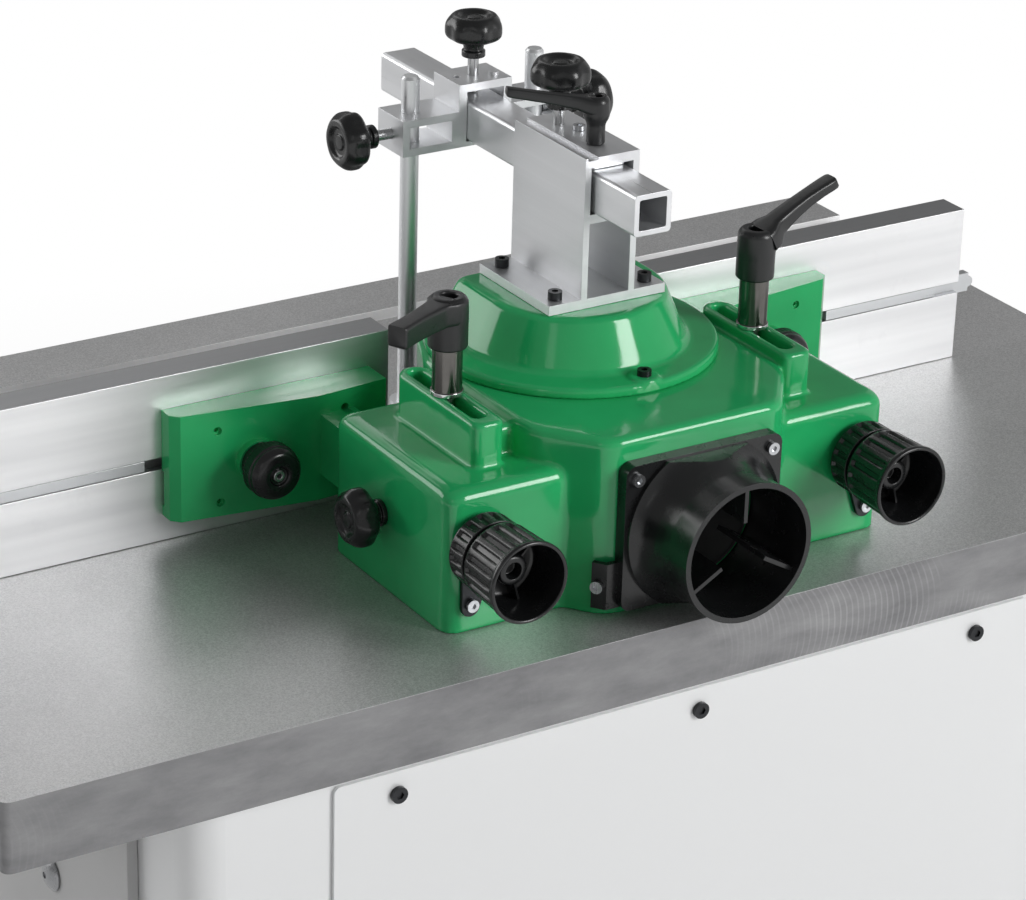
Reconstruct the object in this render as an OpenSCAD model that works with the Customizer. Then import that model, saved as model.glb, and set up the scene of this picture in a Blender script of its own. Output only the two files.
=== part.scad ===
// Spindle moulder with its fence housing, hold-down clamps and stand.
// Millimetres. Z is up, the floor is Z = 0, the spindle axis is X = 0, Y = 0.
// The operator stands at +Y, the dust outlet is at -Y.

/* [Overall] */
// height of the table top over the floor
table_top = 860; // [820:1:900]
// gap between a sliding part and what it passes
slide_gap = 0.3; // [0.2:0.05:0.5]
// gap between a fixed part and its seat
seat = 0.3; // [0.2:0.05:0.5]
// radial clearance of a running fit
run_fit = 0.05; // [0.02:0.01:0.1]

/* [Table] */
// half the length of the table
table_hw = 532; // [480:1:600]
// rear edge of the table
table_y0 = -196; // [-240:1:-180]
// front edge of the table
table_y1 = 443; // [400:1:500]
// depth of the table edge
table_t = 51; // [40:1:70]
// thickness of the table plate
table_plate = 14; // [10:1:20]
// thickness of the table rim
table_rim = 16; // [10:1:24]
// radius of the vertical table corners
table_corner = 6; // [3:0.5:15]
// radius of the recess for the insert rings
ring_seat_r = 90; // [80:1:100]
// depth of the recess for the insert rings
ring_seat_t = 10.5; // [8:0.5:16]
// radius of the opening under the rings
opening_r = 78; // [70:1:85]
// radius of the ring boss under the table
boss_r = 106; // [98:1:115]
// distance of the mitre slot from the spindle axis
mitre_y = 377.5; // [330:0.5:400]
// width of the mitre slot
mitre_w = 19; // [15:0.5:25]
// depth of the mitre slot
mitre_t = 10; // [6:0.5:12]
// radius of the hole in the small insert ring
ring_hole_r = 33; // [28:0.5:45]
// outside radius of the small insert ring
ring_small_r = 60; // [50:1:70]

/* [Cabinet] */
// half the width of the cabinet
cab_hw = 394; // [340:1:440]
// rear wall of the cabinet
cab_y0 = -177; // [-190:1:-150]
// front wall of the cabinet
cab_y1 = 380; // [340:1:420]
// sheet thickness of the cabinet
sheet = 3; // [2:0.5:5]
// radius of the vertical cabinet corners
cab_corner = 25; // [10:1:40]
// width of the flange round the cabinet top
cab_flange = 40; // [30:1:60]
// height of the base plinth
plinth_h = 80; // [60:1:120]
// how far the plinth stands back from the cabinet
plinth_back = 14; // [8:1:40]
// radius of the anchor holes
anchor_r = 7; // [5:0.5:9]
// half the distance of the anchor holes across the width
anchor_x = 330; // [250:1:350]
// half the distance of the anchor holes from front to back
anchor_y = 220; // [150:1:235]
// half the width of the rear cover
cover_hw = 290; // [240:1:340]
// depth of the rear cover's upper edge under the table top
cover_drop = 64; // [58:1:80]
// height of the rear cover over the floor
cover_z0 = 140; // [110:1:260]
// radius of a rear cover screw head
cover_screw_r = 6; // [4:0.5:8]
// distance of the outer cover screws from the middle
cover_screw_x = 242; // [200:1:270]
// rear edge of the side door
door_y0 = -100; // [-130:1:-60]
// front edge of the side door
door_y1 = 325; // [280:1:340]
// lower edge of the side door over the floor
door_z0 = 150; // [110:1:260]
// depth of the door's upper edge under the table top
door_drop = 70; // [60:1:110]
// how far the door stands out
door_t = 8; // [5:0.5:14]
// radius of the door hinge barrel
hinge_r = 6; // [4:0.5:9]
// radius of the door hinge pin
hinge_pin_r = 3; // [2:0.5:4]
// distance of the latch from the spindle axis
latch_y = 20; // [0:1:60]
// depth of the latch under the table top
latch_drop = 200; // [150:1:300]
// radius of the domed latch head
latch_r = 13; // [9:0.5:18]

/* [Switch] */
// distance from the cabinet's left wall to the middle of the switch box
switch_inset = 124; // [90:1:180]
// depth of the switch box middle under the table top
switch_drop = 150; // [120:1:220]
// width of the switch box
switch_w = 120; // [90:1:160]
// height of the switch box
switch_h = 90; // [70:1:130]
// depth of the switch box
switch_t = 45; // [35:1:70]
// radius of the start button
start_r = 11; // [8:0.5:14]
// radius of the stop button
stop_r = 16; // [12:0.5:19]
// radius of a button stem
stem_r = 6; // [4:0.5:7]

/* [Spindle] */
// radius of the spindle where the tool goes
arbor_r = 15; // [12:0.5:20]
// height of the spindle end over the table
arbor_top = 95; // [80:1:98]
// radius of the spindle in its bearings
journal_r = 17.5; // [16:0.5:22]
// outside radius of a bearing
bearing_r = 36; // [33:0.5:40]
// width of a bearing
bearing_t = 17; // [14:0.5:22]
// outside radius of the quill
quill_r = 50; // [46:0.5:56]
// length of the quill tube
quill_len = 240; // [200:1:260]
// depth of the quill top under the table top
quill_drop = 75; // [70:1:90]
// outside radius of the quill bracket
bracket_r = 64; // [60:1:68]
// thickness of the quill carriage
carriage_t = 14; // [10:1:20]
// radius of the spacer rings
spacer_r = 25; // [20:0.5:30]
// radius of the pulleys
pulley_r = 45; // [38:0.5:55]
// height of the pulleys
pulley_h = 32; // [26:1:40]
// thickness of the belt
belt_t = 5; // [4:0.5:8]
// distance of the motor from the spindle axis
motor_x = 185; // [175:1:230]
// radius of the motor body
motor_r = 68; // [60:1:75]
// length of the motor body
motor_len = 215; // [180:1:225]
// radius of the motor shaft
motor_shaft_r = 12; // [9:0.5:14]
// distance of the lift screw from the spindle axis
lift_x = 100; // [92:1:120]
// radius of the lift screw
lift_r = 10; // [8:0.5:12]
// depth of the handwheel shaft under the table top
shaft_drop = 470; // [460:1:520]
// radius of the handwheel shaft
shaft_r = 10; // [8:0.5:12]
// mean radius of the handwheel rim
wheel_r = 85; // [70:1:110]
// radius of the handwheel rim section
wheel_rim_r = 9; // [6:0.5:12]

/* [Housing] */
// half the width over the wings
wing_x = 180; // [170:1:200]
// rear face of the wings
wing_y0 = -136; // [-150:1:-120]
// front face of the wings
wing_y1 = 20; // [10:1:30]
// height of the wings
wing_h = 104.5; // [98:0.5:112]
// rounding of the wing edges
wing_round = 10; // [6:0.5:14]
// rear face of the housing body
body_y0 = -161; // [-170:1:-150]
// half the width of the body's rear face
body_rear_x = 70; // [64:1:78]
// half the width of the body
body_x = 108; // [100:1:112]
// where the slanted corner meets the body side
body_slant_y = -111; // [-120:1:-100]
// height of the housing body
body_h = 130; // [126:0.5:134]
// rounding of the body's upper edge
body_round = 8; // [5:0.5:9]
// radius of the chamber round the spindle
chamber_r = 88; // [80:1:92]
// radius of the opening under the cap
roof_hole_r = 78; // [70:1:80]
// half the width of a slotted boss
slot_boss_hw = 12; // [11:0.5:14]
// distance of the slots from the middle
slot_x = 126.5; // [124:0.5:130]
// Distance by which both clamping slots stand off centre towards the left
slot_shift = 6.5; // [5:0.5:7.5]
// rear end of the bosses
slot_boss_y0 = -110; // [-115:1:-100]
// front end of the bosses
slot_boss_y1 = 0; // [-4:1:8]
// how far the bosses stand above the body
slot_boss_rise = 7; // [3:0.5:12]
// width of the slots
slot_w = 11; // [10.6:0.1:13]
// rear end of the slots
slot_y0 = -98; // [-102:1:-94]
// front end of the slots
slot_y1 = -6; // [-9:1:-3]

/* [Dust outlet] */
// height of the outlet axis over the table
duct_z = 59.4; // [55:0.1:64]
// outside radius of the outlet tube
duct_r = 50; // [45:0.5:55]
// wall of the outlet tube
duct_wall = 3; // [2:0.25:5]
// rear end of the outlet tube
duct_y = -227; // [-240:1:-210]
// half the width of the outlet flange
duct_flange_hw = 63.7; // [60:0.1:68]
// half the height of the outlet flange
duct_flange_hh = 54; // [52:0.5:57]
// thickness of the outlet flange
duct_flange_t = 10; // [6:0.5:14]
// distance of the outlet's upper screws from its middle
duct_screw_x = 55; // [50:0.5:58]
// height of the outlet's upper screws over its axis
duct_screw_dz = 44; // [40:0.5:48]
// length of the outlet's tab on the slanted side of the housing
tab_len = 9; // [8:0.5:14]
// thickness of the outlet's tab
tab_t = 4; // [3:0.25:6]
// lower end of the outlet's tab over the table
tab_z0 = 7; // [4:0.5:12]
// upper end of the outlet's tab over the table
tab_z1 = 41; // [34:0.5:48]
// radius of a small screw head
small_head_r = 4.5; // [3.5:0.25:6]
// radius of a small screw thread
small_thread_r = 2.5; // [2:0.25:3]

/* [Cap] */
// radius of the cap flange
cap_r = 105; // [100:0.5:110]
// thickness of the cap flange
cap_flange_t = 7; // [5:0.5:9]
// radius of the dome at its foot
dome_foot_r = 82; // [76:0.5:86]
// radius of the dome at its top
dome_top_r = 66; // [62:0.5:72]
// height of the cap top over the table
cap_h = 173.7; // [165:0.1:180]
// radius of the cap screw circle
cap_screw_pcd_r = 94; // [90:0.5:98]
// radius of a socket screw head
socket_head_r = 5; // [4:0.25:6]
// radius of a socket screw thread
socket_thread_r = 3; // [2.5:0.25:4]

/* [Bracket] */
// rear end of the bracket
bracket_y0 = -45; // [-55:1:-40]
// front end of the bracket
bracket_y1 = 47; // [40:1:55]
// half the width of the bracket foot
foot_hw = 48; // [46:0.5:56]
// thickness of the bracket foot
foot_t = 7; // [5:0.5:9]
// half the width of the bracket upright
upright_hw = 22; // [20:0.5:26]
// wall of the bracket upright
upright_wall = 5; // [3:0.25:6]
// underside of the web in the bracket
web_z = 236; // [230:0.5:240]
// top of the bracket
bracket_top = 284; // [280:0.5:290]
// thickness of the bracket top wall
bracket_lid = 7; // [5:0.5:9]

/* [Beam] */
// half the width of the square beam
beam_hw = 15; // [12:0.5:16]
// wall of the square beam
beam_wall = 4; // [2:0.25:5]
// rear end of the beam
beam_y0 = -96; // [-110:1:-80]
// front end of the beam
beam_y1 = 246; // [220:1:300]
// underside of the beam over the table
beam_z = 243; // [242:0.5:246]
// middle of the cross clamp along the beam
clamp_y = 140; // [130:1:160]
// length of the cross clamp along the beam
clamp_len = 36; // [30:1:44]
// half the width over the clamp wings
clamp_hw = 68; // [64:0.5:74]
// half the width of the clamp's middle cell
clamp_cell_hw = 22; // [21:0.5:26]
// underside of the cross clamp
clamp_z0 = 239; // [236:0.5:240]
// top of the clamp wings
clamp_wing_z1 = 266; // [262:0.5:270]
// top of the clamp's middle cell
clamp_z1 = 286; // [284:0.5:290]
// distance of the rods from the middle
rod_x = 52; // [48:0.5:54]
// radius of the rods
rod_r = 6.7; // [6:0.1:7.5]
// top of the left rod over the table
rod_top_left = 293; // [285:1:310]
// top of the right rod over the table
rod_top_right = 298; // [285:1:310]
// radius of the pressure feet
foot_r = 12; // [9:0.5:13]

/* [Carriers and fences] */
// inner end of a carrier
carrier_x0 = 115; // [113:1:120]
// outer end of a carrier
carrier_x1 = 280; // [270:1:290]
// lower edge of a carrier
carrier_z0 = 20.5; // [15:0.5:25]
// upper edge of a carrier
carrier_z1 = 101; // [96:0.5:103]
// rear face of the fences
fence_y0 = 87; // [86:0.5:90]
// thickness of the fences
fence_t = 26.6; // [22:0.1:30]
// height of the fences
fence_h = 125.5; // [118:0.5:126]
// inner end of the fences
fence_x0 = 98; // [95:1:110]
// outer end of the fences
fence_x1 = 422; // [400:1:460]
// where the filler strips of both slots start
strip_x0 = 293; // [280:1:300]
// where the right filler strip's flush lip ends
strip_lip_x1 = 399; // [390:1:410]
// where the right filler strip's base ends
strip_base_x1 = 436; // [425:1:445]
// height of the fence slot over the table
fence_slot_z = 60; // [56:0.5:64]
// width of the fence slot's mouth
fence_slot_w = 8.8; // [8.6:0.1:9.4]
// width of the fence slot's wide part
fence_slot_ww = 16; // [15:0.5:20]
// distance of the plate knobs from the middle
plate_knob_x = 218; // [208:1:228]
// distance of the adjusting screws from the middle
micro_x = 156.4; // [155:0.1:158]
// height of the adjusting screws over the table
micro_z = 63.2; // [61:0.1:65]
// width of the carrier slide bar
bar_w = 28; // [24:0.5:29]
// underside of the carrier slide bar
bar_z0 = 40; // [38:0.5:44]
// top of the carrier slide bar
bar_z1 = 86; // [80:0.5:88]

/* [Knobs] */
// radius of the round plate knobs
plate_knob_r = 20; // [18:0.5:23]
// front face of the clamping knobs on the carriers
plate_knob_y = 28; // [26:0.5:34]
// radius of the lobed knobs
star_r = 21.5; // [20:0.5:24]
// thickness of the lobed knobs
star_t = 20; // [18:1:26]
// number of lobes on a lobed knob
lobes = 7; // [5:1:9]
// rim radius of the micro-adjustment knobs
micro_rim_r = 29.5; // [26:0.5:32]
// rear end of the micro-adjustment knobs
micro_y = -201.2; // [-206:0.2:-195]
// number of grip ribs on a micro-adjustment knob
micro_ribs = 18; // [12:1:24]
// sideways distance of a flange plate's screws from the knob axis
flange_dx = 7.3; // [4:0.1:9]
// upward distance of a flange plate's screws from the knob axis
flange_dz = 41; // [36:0.5:42]
// radius of the clamping studs
stud_r = 5; // [4:0.25:5.2]
// radius of the clamping sleeves
sleeve_r = 10.5; // [9:0.5:12]
// height of the left clamping sleeve
sleeve_left_h = 31; // [20:1:36]
// height of the right clamping sleeve
sleeve_right_h = 34; // [20:1:38]
// radius of the clamping lever hubs
hub_r = 14; // [13:0.5:16]
// height of the clamping lever hubs
hub_h = 37; // [34:1:46]
// radius of the knob studs
knob_stud_r = 4; // [3.5:0.25:4.2]

/* [Hidden] */
$fn = 64;
eps = 0.01;
underside = -table_t;
floor_z = -table_top;
cab_top = underside - seat;
rear_cover_y = cab_y0 - sheet;
door_x = -cab_hw - seat - door_t;
hinge_y = door_y1 + 8;
switch_x = switch_inset - cab_hw;
stud_y = (slot_y0 + slot_y1) / 2;
slot_left = slot_x + slot_shift;
slot_right = slot_x - slot_shift;
slant_u = [-(body_x - body_rear_x), body_slant_y - body_y0] / norm([body_x - body_rear_x, body_slant_y - body_y0]);
slant_n = [-slant_u[1], slant_u[0]];
lock_y = -47;
roof_under = body_h - 9;
chamber_top = roof_under;
slot_boss_h = body_h + slot_boss_rise;
washer_z = slot_boss_h + slide_gap;
fence_y1 = fence_y0 + fence_t;
bar_x0 = micro_x - bar_w / 2;
bar_x1 = micro_x + bar_w / 2;
carriage_z = -quill_drop - quill_len;
pulley_z1 = carriage_z - carriage_t - 42;
pulley_z0 = pulley_z1 - pulley_h;
duct_face = body_y0 - seat;
bracket_foot_z = cap_h + seat;
web_top = beam_z - slide_gap;
beam_z1 = beam_z + 2 * beam_hw;
lid_under = bracket_top - bracket_lid;

// Helpers: every part is drawn with the table top at Z = 0 and lifted once.
module lifted() {
    translate([0, 0, table_top]) children();
}

module side(s) {
    if (s > 0) {
        children();
    } else {
        mirror([1, 0, 0]) children();
    }
}

module box(x0, x1, y0, y1, z0, z1) {
    translate([x0, y0, z0]) cube([x1 - x0, y1 - y0, z1 - z0]);
}

module cyl_x(y, z, x0, x1, r) {
    translate([x0, y, z]) rotate([0, 90, 0]) cylinder(h = x1 - x0, r = r);
}

module cyl_y(x, z, y0, y1, r) {
    translate([x, y1, z]) rotate([90, 0, 0]) cylinder(h = y1 - y0, r = r);
}

module cyl_z(x, y, z0, z1, r) {
    translate([x, y, z0]) cylinder(h = z1 - z0, r = r);
}

// Extrudes a flat shape drawn in (y, z) along X.
module along_x(x0, x1) {
    translate([x0, 0, 0]) rotate([90, 0, 90]) linear_extrude(x1 - x0) children();
}

// Extrudes a flat shape drawn in (x, z) along Y.
module along_y(y0, y1) {
    translate([0, y1, 0]) rotate([90, 0, 0]) linear_extrude(y1 - y0) children();
}

// Turns a profile drawn in (radius, y) about an axis along Y.
module turned_y(x, z) {
    translate([x, 0, z]) rotate([-90, 0, 0]) rotate_extrude() children();
}

// A rectangle with round corners.
module round_rect(x0, x1, y0, y1, r) {
    translate([x0 + r, y0]) square([x1 - x0 - 2 * r, y1 - y0]);
    translate([x0, y0 + r]) square([x1 - x0, y1 - y0 - 2 * r]);
    for (x = [x0 + r, x1 - r], y = [y0 + r, y1 - r]) {
        translate([x, y]) circle(r);
    }
}

module round_box(x0, x1, y0, y1, z0, z1, r) {
    translate([0, 0, z0]) linear_extrude(z1 - z0) round_rect(x0, x1, y0, y1, r);
}

// What is cut away to round an edge; the corner points to (sx, sy), and proud leaves the arc short of tangent.
module corner_cut(r, sx, sy, proud = 0) {
    difference() {
        translate([sx > 0 ? 0 : -r - 1, sy > 0 ? 0 : -r - 1]) square(r + 1);
        circle(r + proud);
    }
}

// Rounds the upper edge from p to q of a body that lies left of the line.
module edge_cut(p, q, z, r) {
    len = norm(q - p);
    translate([p[0], p[1], z]) rotate([0, 0, atan2(q[1] - p[1], q[0] - p[0])])
        along_x(-12, len + 12) translate([r, -r]) corner_cut(r, -1, 1, 0.15);
}

// A lobed knob body standing on Z = 0.
module star(r, h) {
    lobe = r * 0.34;
    cylinder(h = h - 3, r = r * 0.8);
    translate([0, 0, h - 3]) cylinder(h = 3, r1 = r * 0.76, r2 = r * 0.64);
    for (i = [0 : lobes - 1]) {
        rotate([0, 0, i * 360 / lobes]) translate([r - lobe, 0, 1.5]) cylinder(h = h - 7, r = lobe);
    }
}

// A small screw along Z with its head's underside at Z = 0.
module screw(head_r, head_h, thread_r, len) {
    difference() {
        union() {
            cylinder(h = head_h, r = head_r);
            translate([0, 0, -len]) cylinder(h = len + eps, r = thread_r);
        }
        translate([0, 0, head_h / 2]) cylinder(h = head_h, r = head_r * 0.5, $fn = 6);
    }
}

// Table
module table() {
    rib = 14;
    pad = 24;
    color("#8f9090") lifted() difference() {
        union() {
            difference() {
                round_box(-table_hw, table_hw, table_y0, table_y1, underside, 0, table_corner);
                box(-table_hw + table_rim, table_hw - table_rim, table_y0 + table_rim, table_y1 - table_rim,
                    underside - 1, -table_plate);
            }
            for (s = [-1, 1]) {
                side(s) box(cab_hw - pad, cab_hw, table_y0 + 1, table_y1 - 1, underside, -table_plate + eps);
                side(s) box(slot_at(s) - rib / 2, slot_at(s) + rib / 2, table_y0 + 1, table_y1 - 1,
                    underside + 12, -table_plate + eps);
                cyl_z(s * slot_at(s), stud_y, underside + 6, -1, 18);
            }
            box(-table_hw + 1, table_hw - 1, cab_y0, cab_y0 + pad, underside, -table_plate + eps);
            box(-table_hw + 1, table_hw - 1, cab_y1 - pad, cab_y1, underside, -table_plate + eps);
            box(-table_hw + 1, table_hw - 1, mitre_y - 20, mitre_y + 20, -30, -table_plate + eps);
            box(-table_hw + 1, table_hw - 1, 170, 170 + rib, underside + 12, -table_plate + eps);
            cyl_z(0, 0, underside, -1, boss_r);
        }
        box(-table_hw - 1, table_hw + 1, mitre_y - mitre_w / 2, mitre_y + mitre_w / 2, -mitre_t, 1);
        cyl_z(0, 0, -ring_seat_t, 1, ring_seat_r);
        cyl_z(0, 0, underside - 1, 1, opening_r);
        for (s = [-1, 1]) {
            cyl_z(s * slot_at(s), stud_y, underside - 1, 1, stud_r + run_fit);
        }
    }
}

module table_rings() {
    color("#a9abad") lifted() {
        difference() {
            cyl_z(0, 0, -ring_seat_t + seat, -0.2, ring_seat_r - seat);
            cyl_z(0, 0, -5.2, 1, ring_small_r + seat);
            cyl_z(0, 0, -ring_seat_t - 1, 1, ring_small_r - 6);
        }
        difference() {
            cyl_z(0, 0, -5.2 + seat, -0.2, ring_small_r);
            cyl_z(0, 0, -ring_seat_t - 1, 1, ring_hole_r);
        }
    }
}

// Stand
module base_plinth() {
    w = cab_hw - plinth_back;
    y0 = cab_y0 + plinth_back;
    y1 = cab_y1 - plinth_back;
    color("#3a3c3e") difference() {
        round_box(-w, w, y0, y1, 0, plinth_h - seat, cab_corner - 5);
        round_box(-w + 5, w - 5, y0 + 5, y1 - 5, 6, plinth_h + 1, cab_corner - 10);
        for (x = [-anchor_x, anchor_x], y = [-anchor_y, anchor_y]) {
            cyl_z(x, y + (cab_y0 + cab_y1) / 2, -1, 7, anchor_r);
        }
    }
}

module cabinet() {
    z0 = floor_z + plinth_h;
    color("#dcdddd") lifted() {
        difference() {
            round_box(-cab_hw, cab_hw, cab_y0, cab_y1, z0, cab_top, cab_corner);
            round_box(-cab_hw + sheet, cab_hw - sheet, cab_y0 + sheet, cab_y1 - sheet, z0 + 4,
                cab_top - 4, cab_corner - sheet);
            round_box(-cab_hw + cab_flange, cab_hw - cab_flange, cab_y0 + cab_flange - 8, cab_y1 - cab_flange,
                cab_top - 10, cab_top + 1, 10);
            box(-cover_screw_x + 22, cover_screw_x - 22, cab_y0 - 1, cab_y0 + sheet + 1, floor_z + cover_z0 + 35,
                -cover_drop - 36);
            box(-cab_hw - 1, -cab_hw + sheet + 1, latch_y - 15, door_y1 - 25, floor_z + door_z0 + 20,
                -door_drop - 30);
            cyl_y(-lift_x, -shaft_drop, cab_y1 - sheet - 1, cab_y1 + 8, shaft_r + run_fit);
            for (x = [-1, 0, 1], z = [-cover_drop - 17, (floor_z + cover_z0 - cover_drop) / 2, floor_z + cover_z0 + 17]) {
                cyl_y(x * cover_screw_x, z, cab_y0 - 1, cab_y0 + sheet + 1, small_thread_r + 0.1);
            }
        }
        difference() {
            cyl_y(-lift_x, -shaft_drop, cab_y1 - eps, cab_y1 + 7, 24);
            cyl_y(-lift_x, -shaft_drop, cab_y1 - 1, cab_y1 + 8, shaft_r + run_fit);
        }
        for (z = [floor_z + 300, floor_z + 640]) {
            door_pin(z);
        }
    }
}

// A hinge pin with its two ears, fixed on the cabinet wall.
module door_pin(z) {
    x = door_x - hinge_r + 4;
    cyl_z(x, hinge_y, z - 6, z + 66, hinge_pin_r);
    for (k = [z - 7, z + 60.5]) {
        cyl_z(x, hinge_y, k, k + 6.5, hinge_r);
        box(x, -cab_hw + 1, hinge_y - 3, hinge_y + hinge_r, k, k + 6.5);
    }
}

module rear_cover() {
    z0 = floor_z + cover_z0;
    z1 = -cover_drop;
    color("#d6d7d7") lifted() difference() {
        round_box2(-cover_hw, cover_hw, z0, z1, rear_cover_y, cab_y0 - seat, 5);
        for (x = [-1, 0, 1], z = [z1 - 17, (z0 + z1) / 2, z0 + 17]) {
            cyl_y(x * cover_screw_x, z, rear_cover_y - 1, cab_y0 + 1, small_thread_r + 0.3);
        }
    }
}

// A plate standing in the XZ plane with round corners.
module round_box2(x0, x1, z0, z1, y0, y1, r) {
    along_y(y0, y1) round_rect(x0, x1, z0, z1, r);
}

module rear_cover_screws() {
    z0 = floor_z + cover_z0;
    z1 = -cover_drop;
    color("#b9bbbd") lifted() for (x = [-1, 0, 1], z = [z1 - 17, (z0 + z1) / 2, z0 + 17]) {
        translate([x * cover_screw_x, rear_cover_y - seat, z]) rotate([90, 0, 0])
            screw(cover_screw_r, 3, small_thread_r, sheet * 2 + 3);
    }
}

module side_door() {
    z0 = floor_z + door_z0;
    z1 = -door_drop;
    x1 = -cab_hw - seat;
    x = door_x - hinge_r + 4;
    color("#e2e3e3") lifted() difference() {
        union() {
            box(door_x, x1, door_y0, door_y1, z0, z1);
            for (z = [floor_z + 300, floor_z + 640]) {
                cyl_z(x, hinge_y, z, z + 60, hinge_r);
                box(x, door_x + 3, door_y1 - 4, hinge_y, z, z + 60);
            }
        }
        box(door_x + 2.5, x1 + 1, door_y0 + 2.5, door_y1 - 2.5, z0 + 2.5, z1 - 2.5);
        for (z = [floor_z + 300, floor_z + 640]) {
            cyl_z(x, hinge_y, z - 1, z + 61, hinge_pin_r + run_fit);
        }
        cyl_x(latch_y, -latch_drop, door_x - 1, door_x + 4, stem_r + run_fit);
    }
}

module door_latch() {
    cam = 34;
    color("#9a9da0") lifted() translate([0, latch_y, -latch_drop]) {
        difference() {
            translate([door_x - seat, 0, 0]) rotate([0, -90, 0]) rotate_extrude() intersection() {
                translate([0, -14]) circle(20);
                square([latch_r, 10]);
            }
            cyl_x(0, 0, door_x - 8, door_x - 5, 2.5);
        }
        cyl_x(0, 0, door_x - 1, -cab_hw + sheet + 6, stem_r);
        box(-cab_hw + sheet + 1, -cab_hw + sheet + 5, -6, 6, -cam + 8, 8);
    }
}

module switch_box() {
    z = -switch_drop;
    color("#2c2d2f") lifted() difference() {
        union() {
            round_box2(switch_x - switch_w / 2, switch_x + switch_w / 2, z - switch_h / 2, z + switch_h / 2,
                cab_y1 + seat, cab_y1 + switch_t, 8);
            cyl_y(switch_x - 28, z, cab_y1 + 10, cab_y1 + switch_t + 3, start_r + 5);
            cyl_y(switch_x + 26, z, cab_y1 + 10, cab_y1 + switch_t + 3, stop_r + 4);
            cyl_z(switch_x, cab_y1 + switch_t / 2, z - switch_h / 2 - 16, z - switch_h / 2 + 1, 10);
        }
        round_box2(switch_x - switch_w / 2 + 3, switch_x + switch_w / 2 - 3, z - switch_h / 2 + 3,
            z + switch_h / 2 - 3, cab_y1 - 1, cab_y1 + switch_t - 3, 6);
        cyl_y(switch_x - 28, z, cab_y1, cab_y1 + switch_t + 4, stem_r + run_fit);
        cyl_y(switch_x + 26, z, cab_y1, cab_y1 + switch_t + 4, stem_r + run_fit);
        cyl_z(switch_x, cab_y1 + switch_t / 2, z - switch_h / 2 - 17, z - switch_h / 2 + 4, 5);
    }
}

// A push button with its stem in the switch box.
module button(x, r, h) {
    y = cab_y1 + switch_t + 3;
    cyl_y(x, -switch_drop, y + 5, y + 5 + h, r);
    cyl_y(x, -switch_drop, y - 10, y + 6, stem_r);
    cyl_y(x, -switch_drop, y - 10, y - 6 - slide_gap, stem_r + 3);
}

module start_button() {
    color("#2f9e4f") lifted() button(switch_x - 28, start_r, 5);
}

module stop_button() {
    color("#c4261d") lifted() button(switch_x + 26, stop_r, 8);
}

// Spindle unit
module arbor_bracket() {
    z1 = underside - seat;
    bottom = carriage_z + 45;
    gear_z = -shaft_drop;
    color("#55595c") lifted() difference() {
        union() {
            cyl_z(0, 0, z1 - 14, z1, boss_r - 1);
            cyl_z(0, 0, bottom, z1, bracket_r);
            box(-lift_x - 50, -40, -30, 30, z1 - 34, z1 - 12);
            box(-lift_x - 50, -lift_x - 32, -30, 30, gear_z - 20, z1 - 12);
            box(-lift_x - 50, -lift_x + 22, -24, 24, gear_z + 36, gear_z + 54);
            box(-lift_x - 50, -lift_x + 22, 34, 50, gear_z - 20, gear_z + 54);
            box(-lift_x - 50, -lift_x - 32, -24, 50, gear_z - 20, gear_z + 54);
            box(-lift_x - 50, -lift_x + 22, 20, 50, gear_z + 36, gear_z + 54);
        }
        cyl_z(0, 0, bottom - 1, z1 - 3, quill_r + run_fit);
        cyl_z(0, 0, z1 - 20, z1 + 1, quill_r + 8);
        cyl_z(-lift_x, 0, z1 - 30, z1 - 10, lift_r + run_fit);
        cyl_z(-lift_x, 0, z1 - 40, z1 - 29, lift_r + run_fit);
        cyl_z(-lift_x, 0, gear_z + 30, gear_z + 60, 6 + run_fit);
        cyl_y(-lift_x, gear_z, 30, 60, shaft_r + run_fit);
    }
}

module quill() {
    c1 = carriage_z;
    c0 = carriage_z - carriage_t;
    color("#7f8488") lifted() difference() {
        union() {
            cyl_z(0, 0, c0, -quill_drop, quill_r);
            round_box(-lift_x - 24, motor_x + 84, -62, 62, c0, c1, 20);
            cyl_z(-lift_x, 0, c0 - 16, c1, 20);
        }
        cyl_z(0, 0, c0 - 1, -quill_drop + 1, journal_r + 6);
        cyl_z(0, 0, -quill_drop - bearing_t - 1, -quill_drop + 1, bearing_r + run_fit);
        cyl_z(0, 0, c0 - 1, c0 + bearing_t + 1, bearing_r + run_fit);
        cyl_z(-lift_x, 0, c0 - 17, c1 + 1, lift_r + run_fit);
        cyl_z(motor_x, 0, c0 - 1, c1 + 1, 30);
        for (a = [45 : 90 : 315]) {
            cyl_z(motor_x + 52 * cos(a), 52 * sin(a), c0 - 1, c1 + 1, 4.5);
        }
    }
}

module bearings() {
    c0 = carriage_z - carriage_t;
    color("#c3c6c8") lifted() for (z = [-quill_drop - bearing_t - seat, c0 + seat]) {
        difference() {
            cyl_z(0, 0, z, z + bearing_t, bearing_r);
            cyl_z(0, 0, z - 1, z + bearing_t + 1, journal_r + run_fit);
            for (k = [z - 1, z + bearing_t - 1]) {
                difference() {
                    cyl_z(0, 0, k, k + 2, 31);
                    cyl_z(0, 0, k - 1, k + 3, 24);
                }
            }
        }
    }
}

module spindle() {
    color("#b4b8bb") lifted() difference() {
        union() {
            cyl_z(0, 0, pulley_z0 - 6, -quill_drop + 6, journal_r);
            cyl_z(0, 0, -quill_drop + 1, -quill_drop + 12, 30);
            cyl_z(0, 0, -quill_drop + 6, arbor_top - 2, arbor_r);
            translate([0, 0, arbor_top - 2 - eps]) cylinder(h = 2, r1 = arbor_r, r2 = arbor_r - 2);
        }
        translate([0, 0, arbor_top - 12]) cylinder(h = 14, r = 5, $fn = 6);
    }
}

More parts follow.
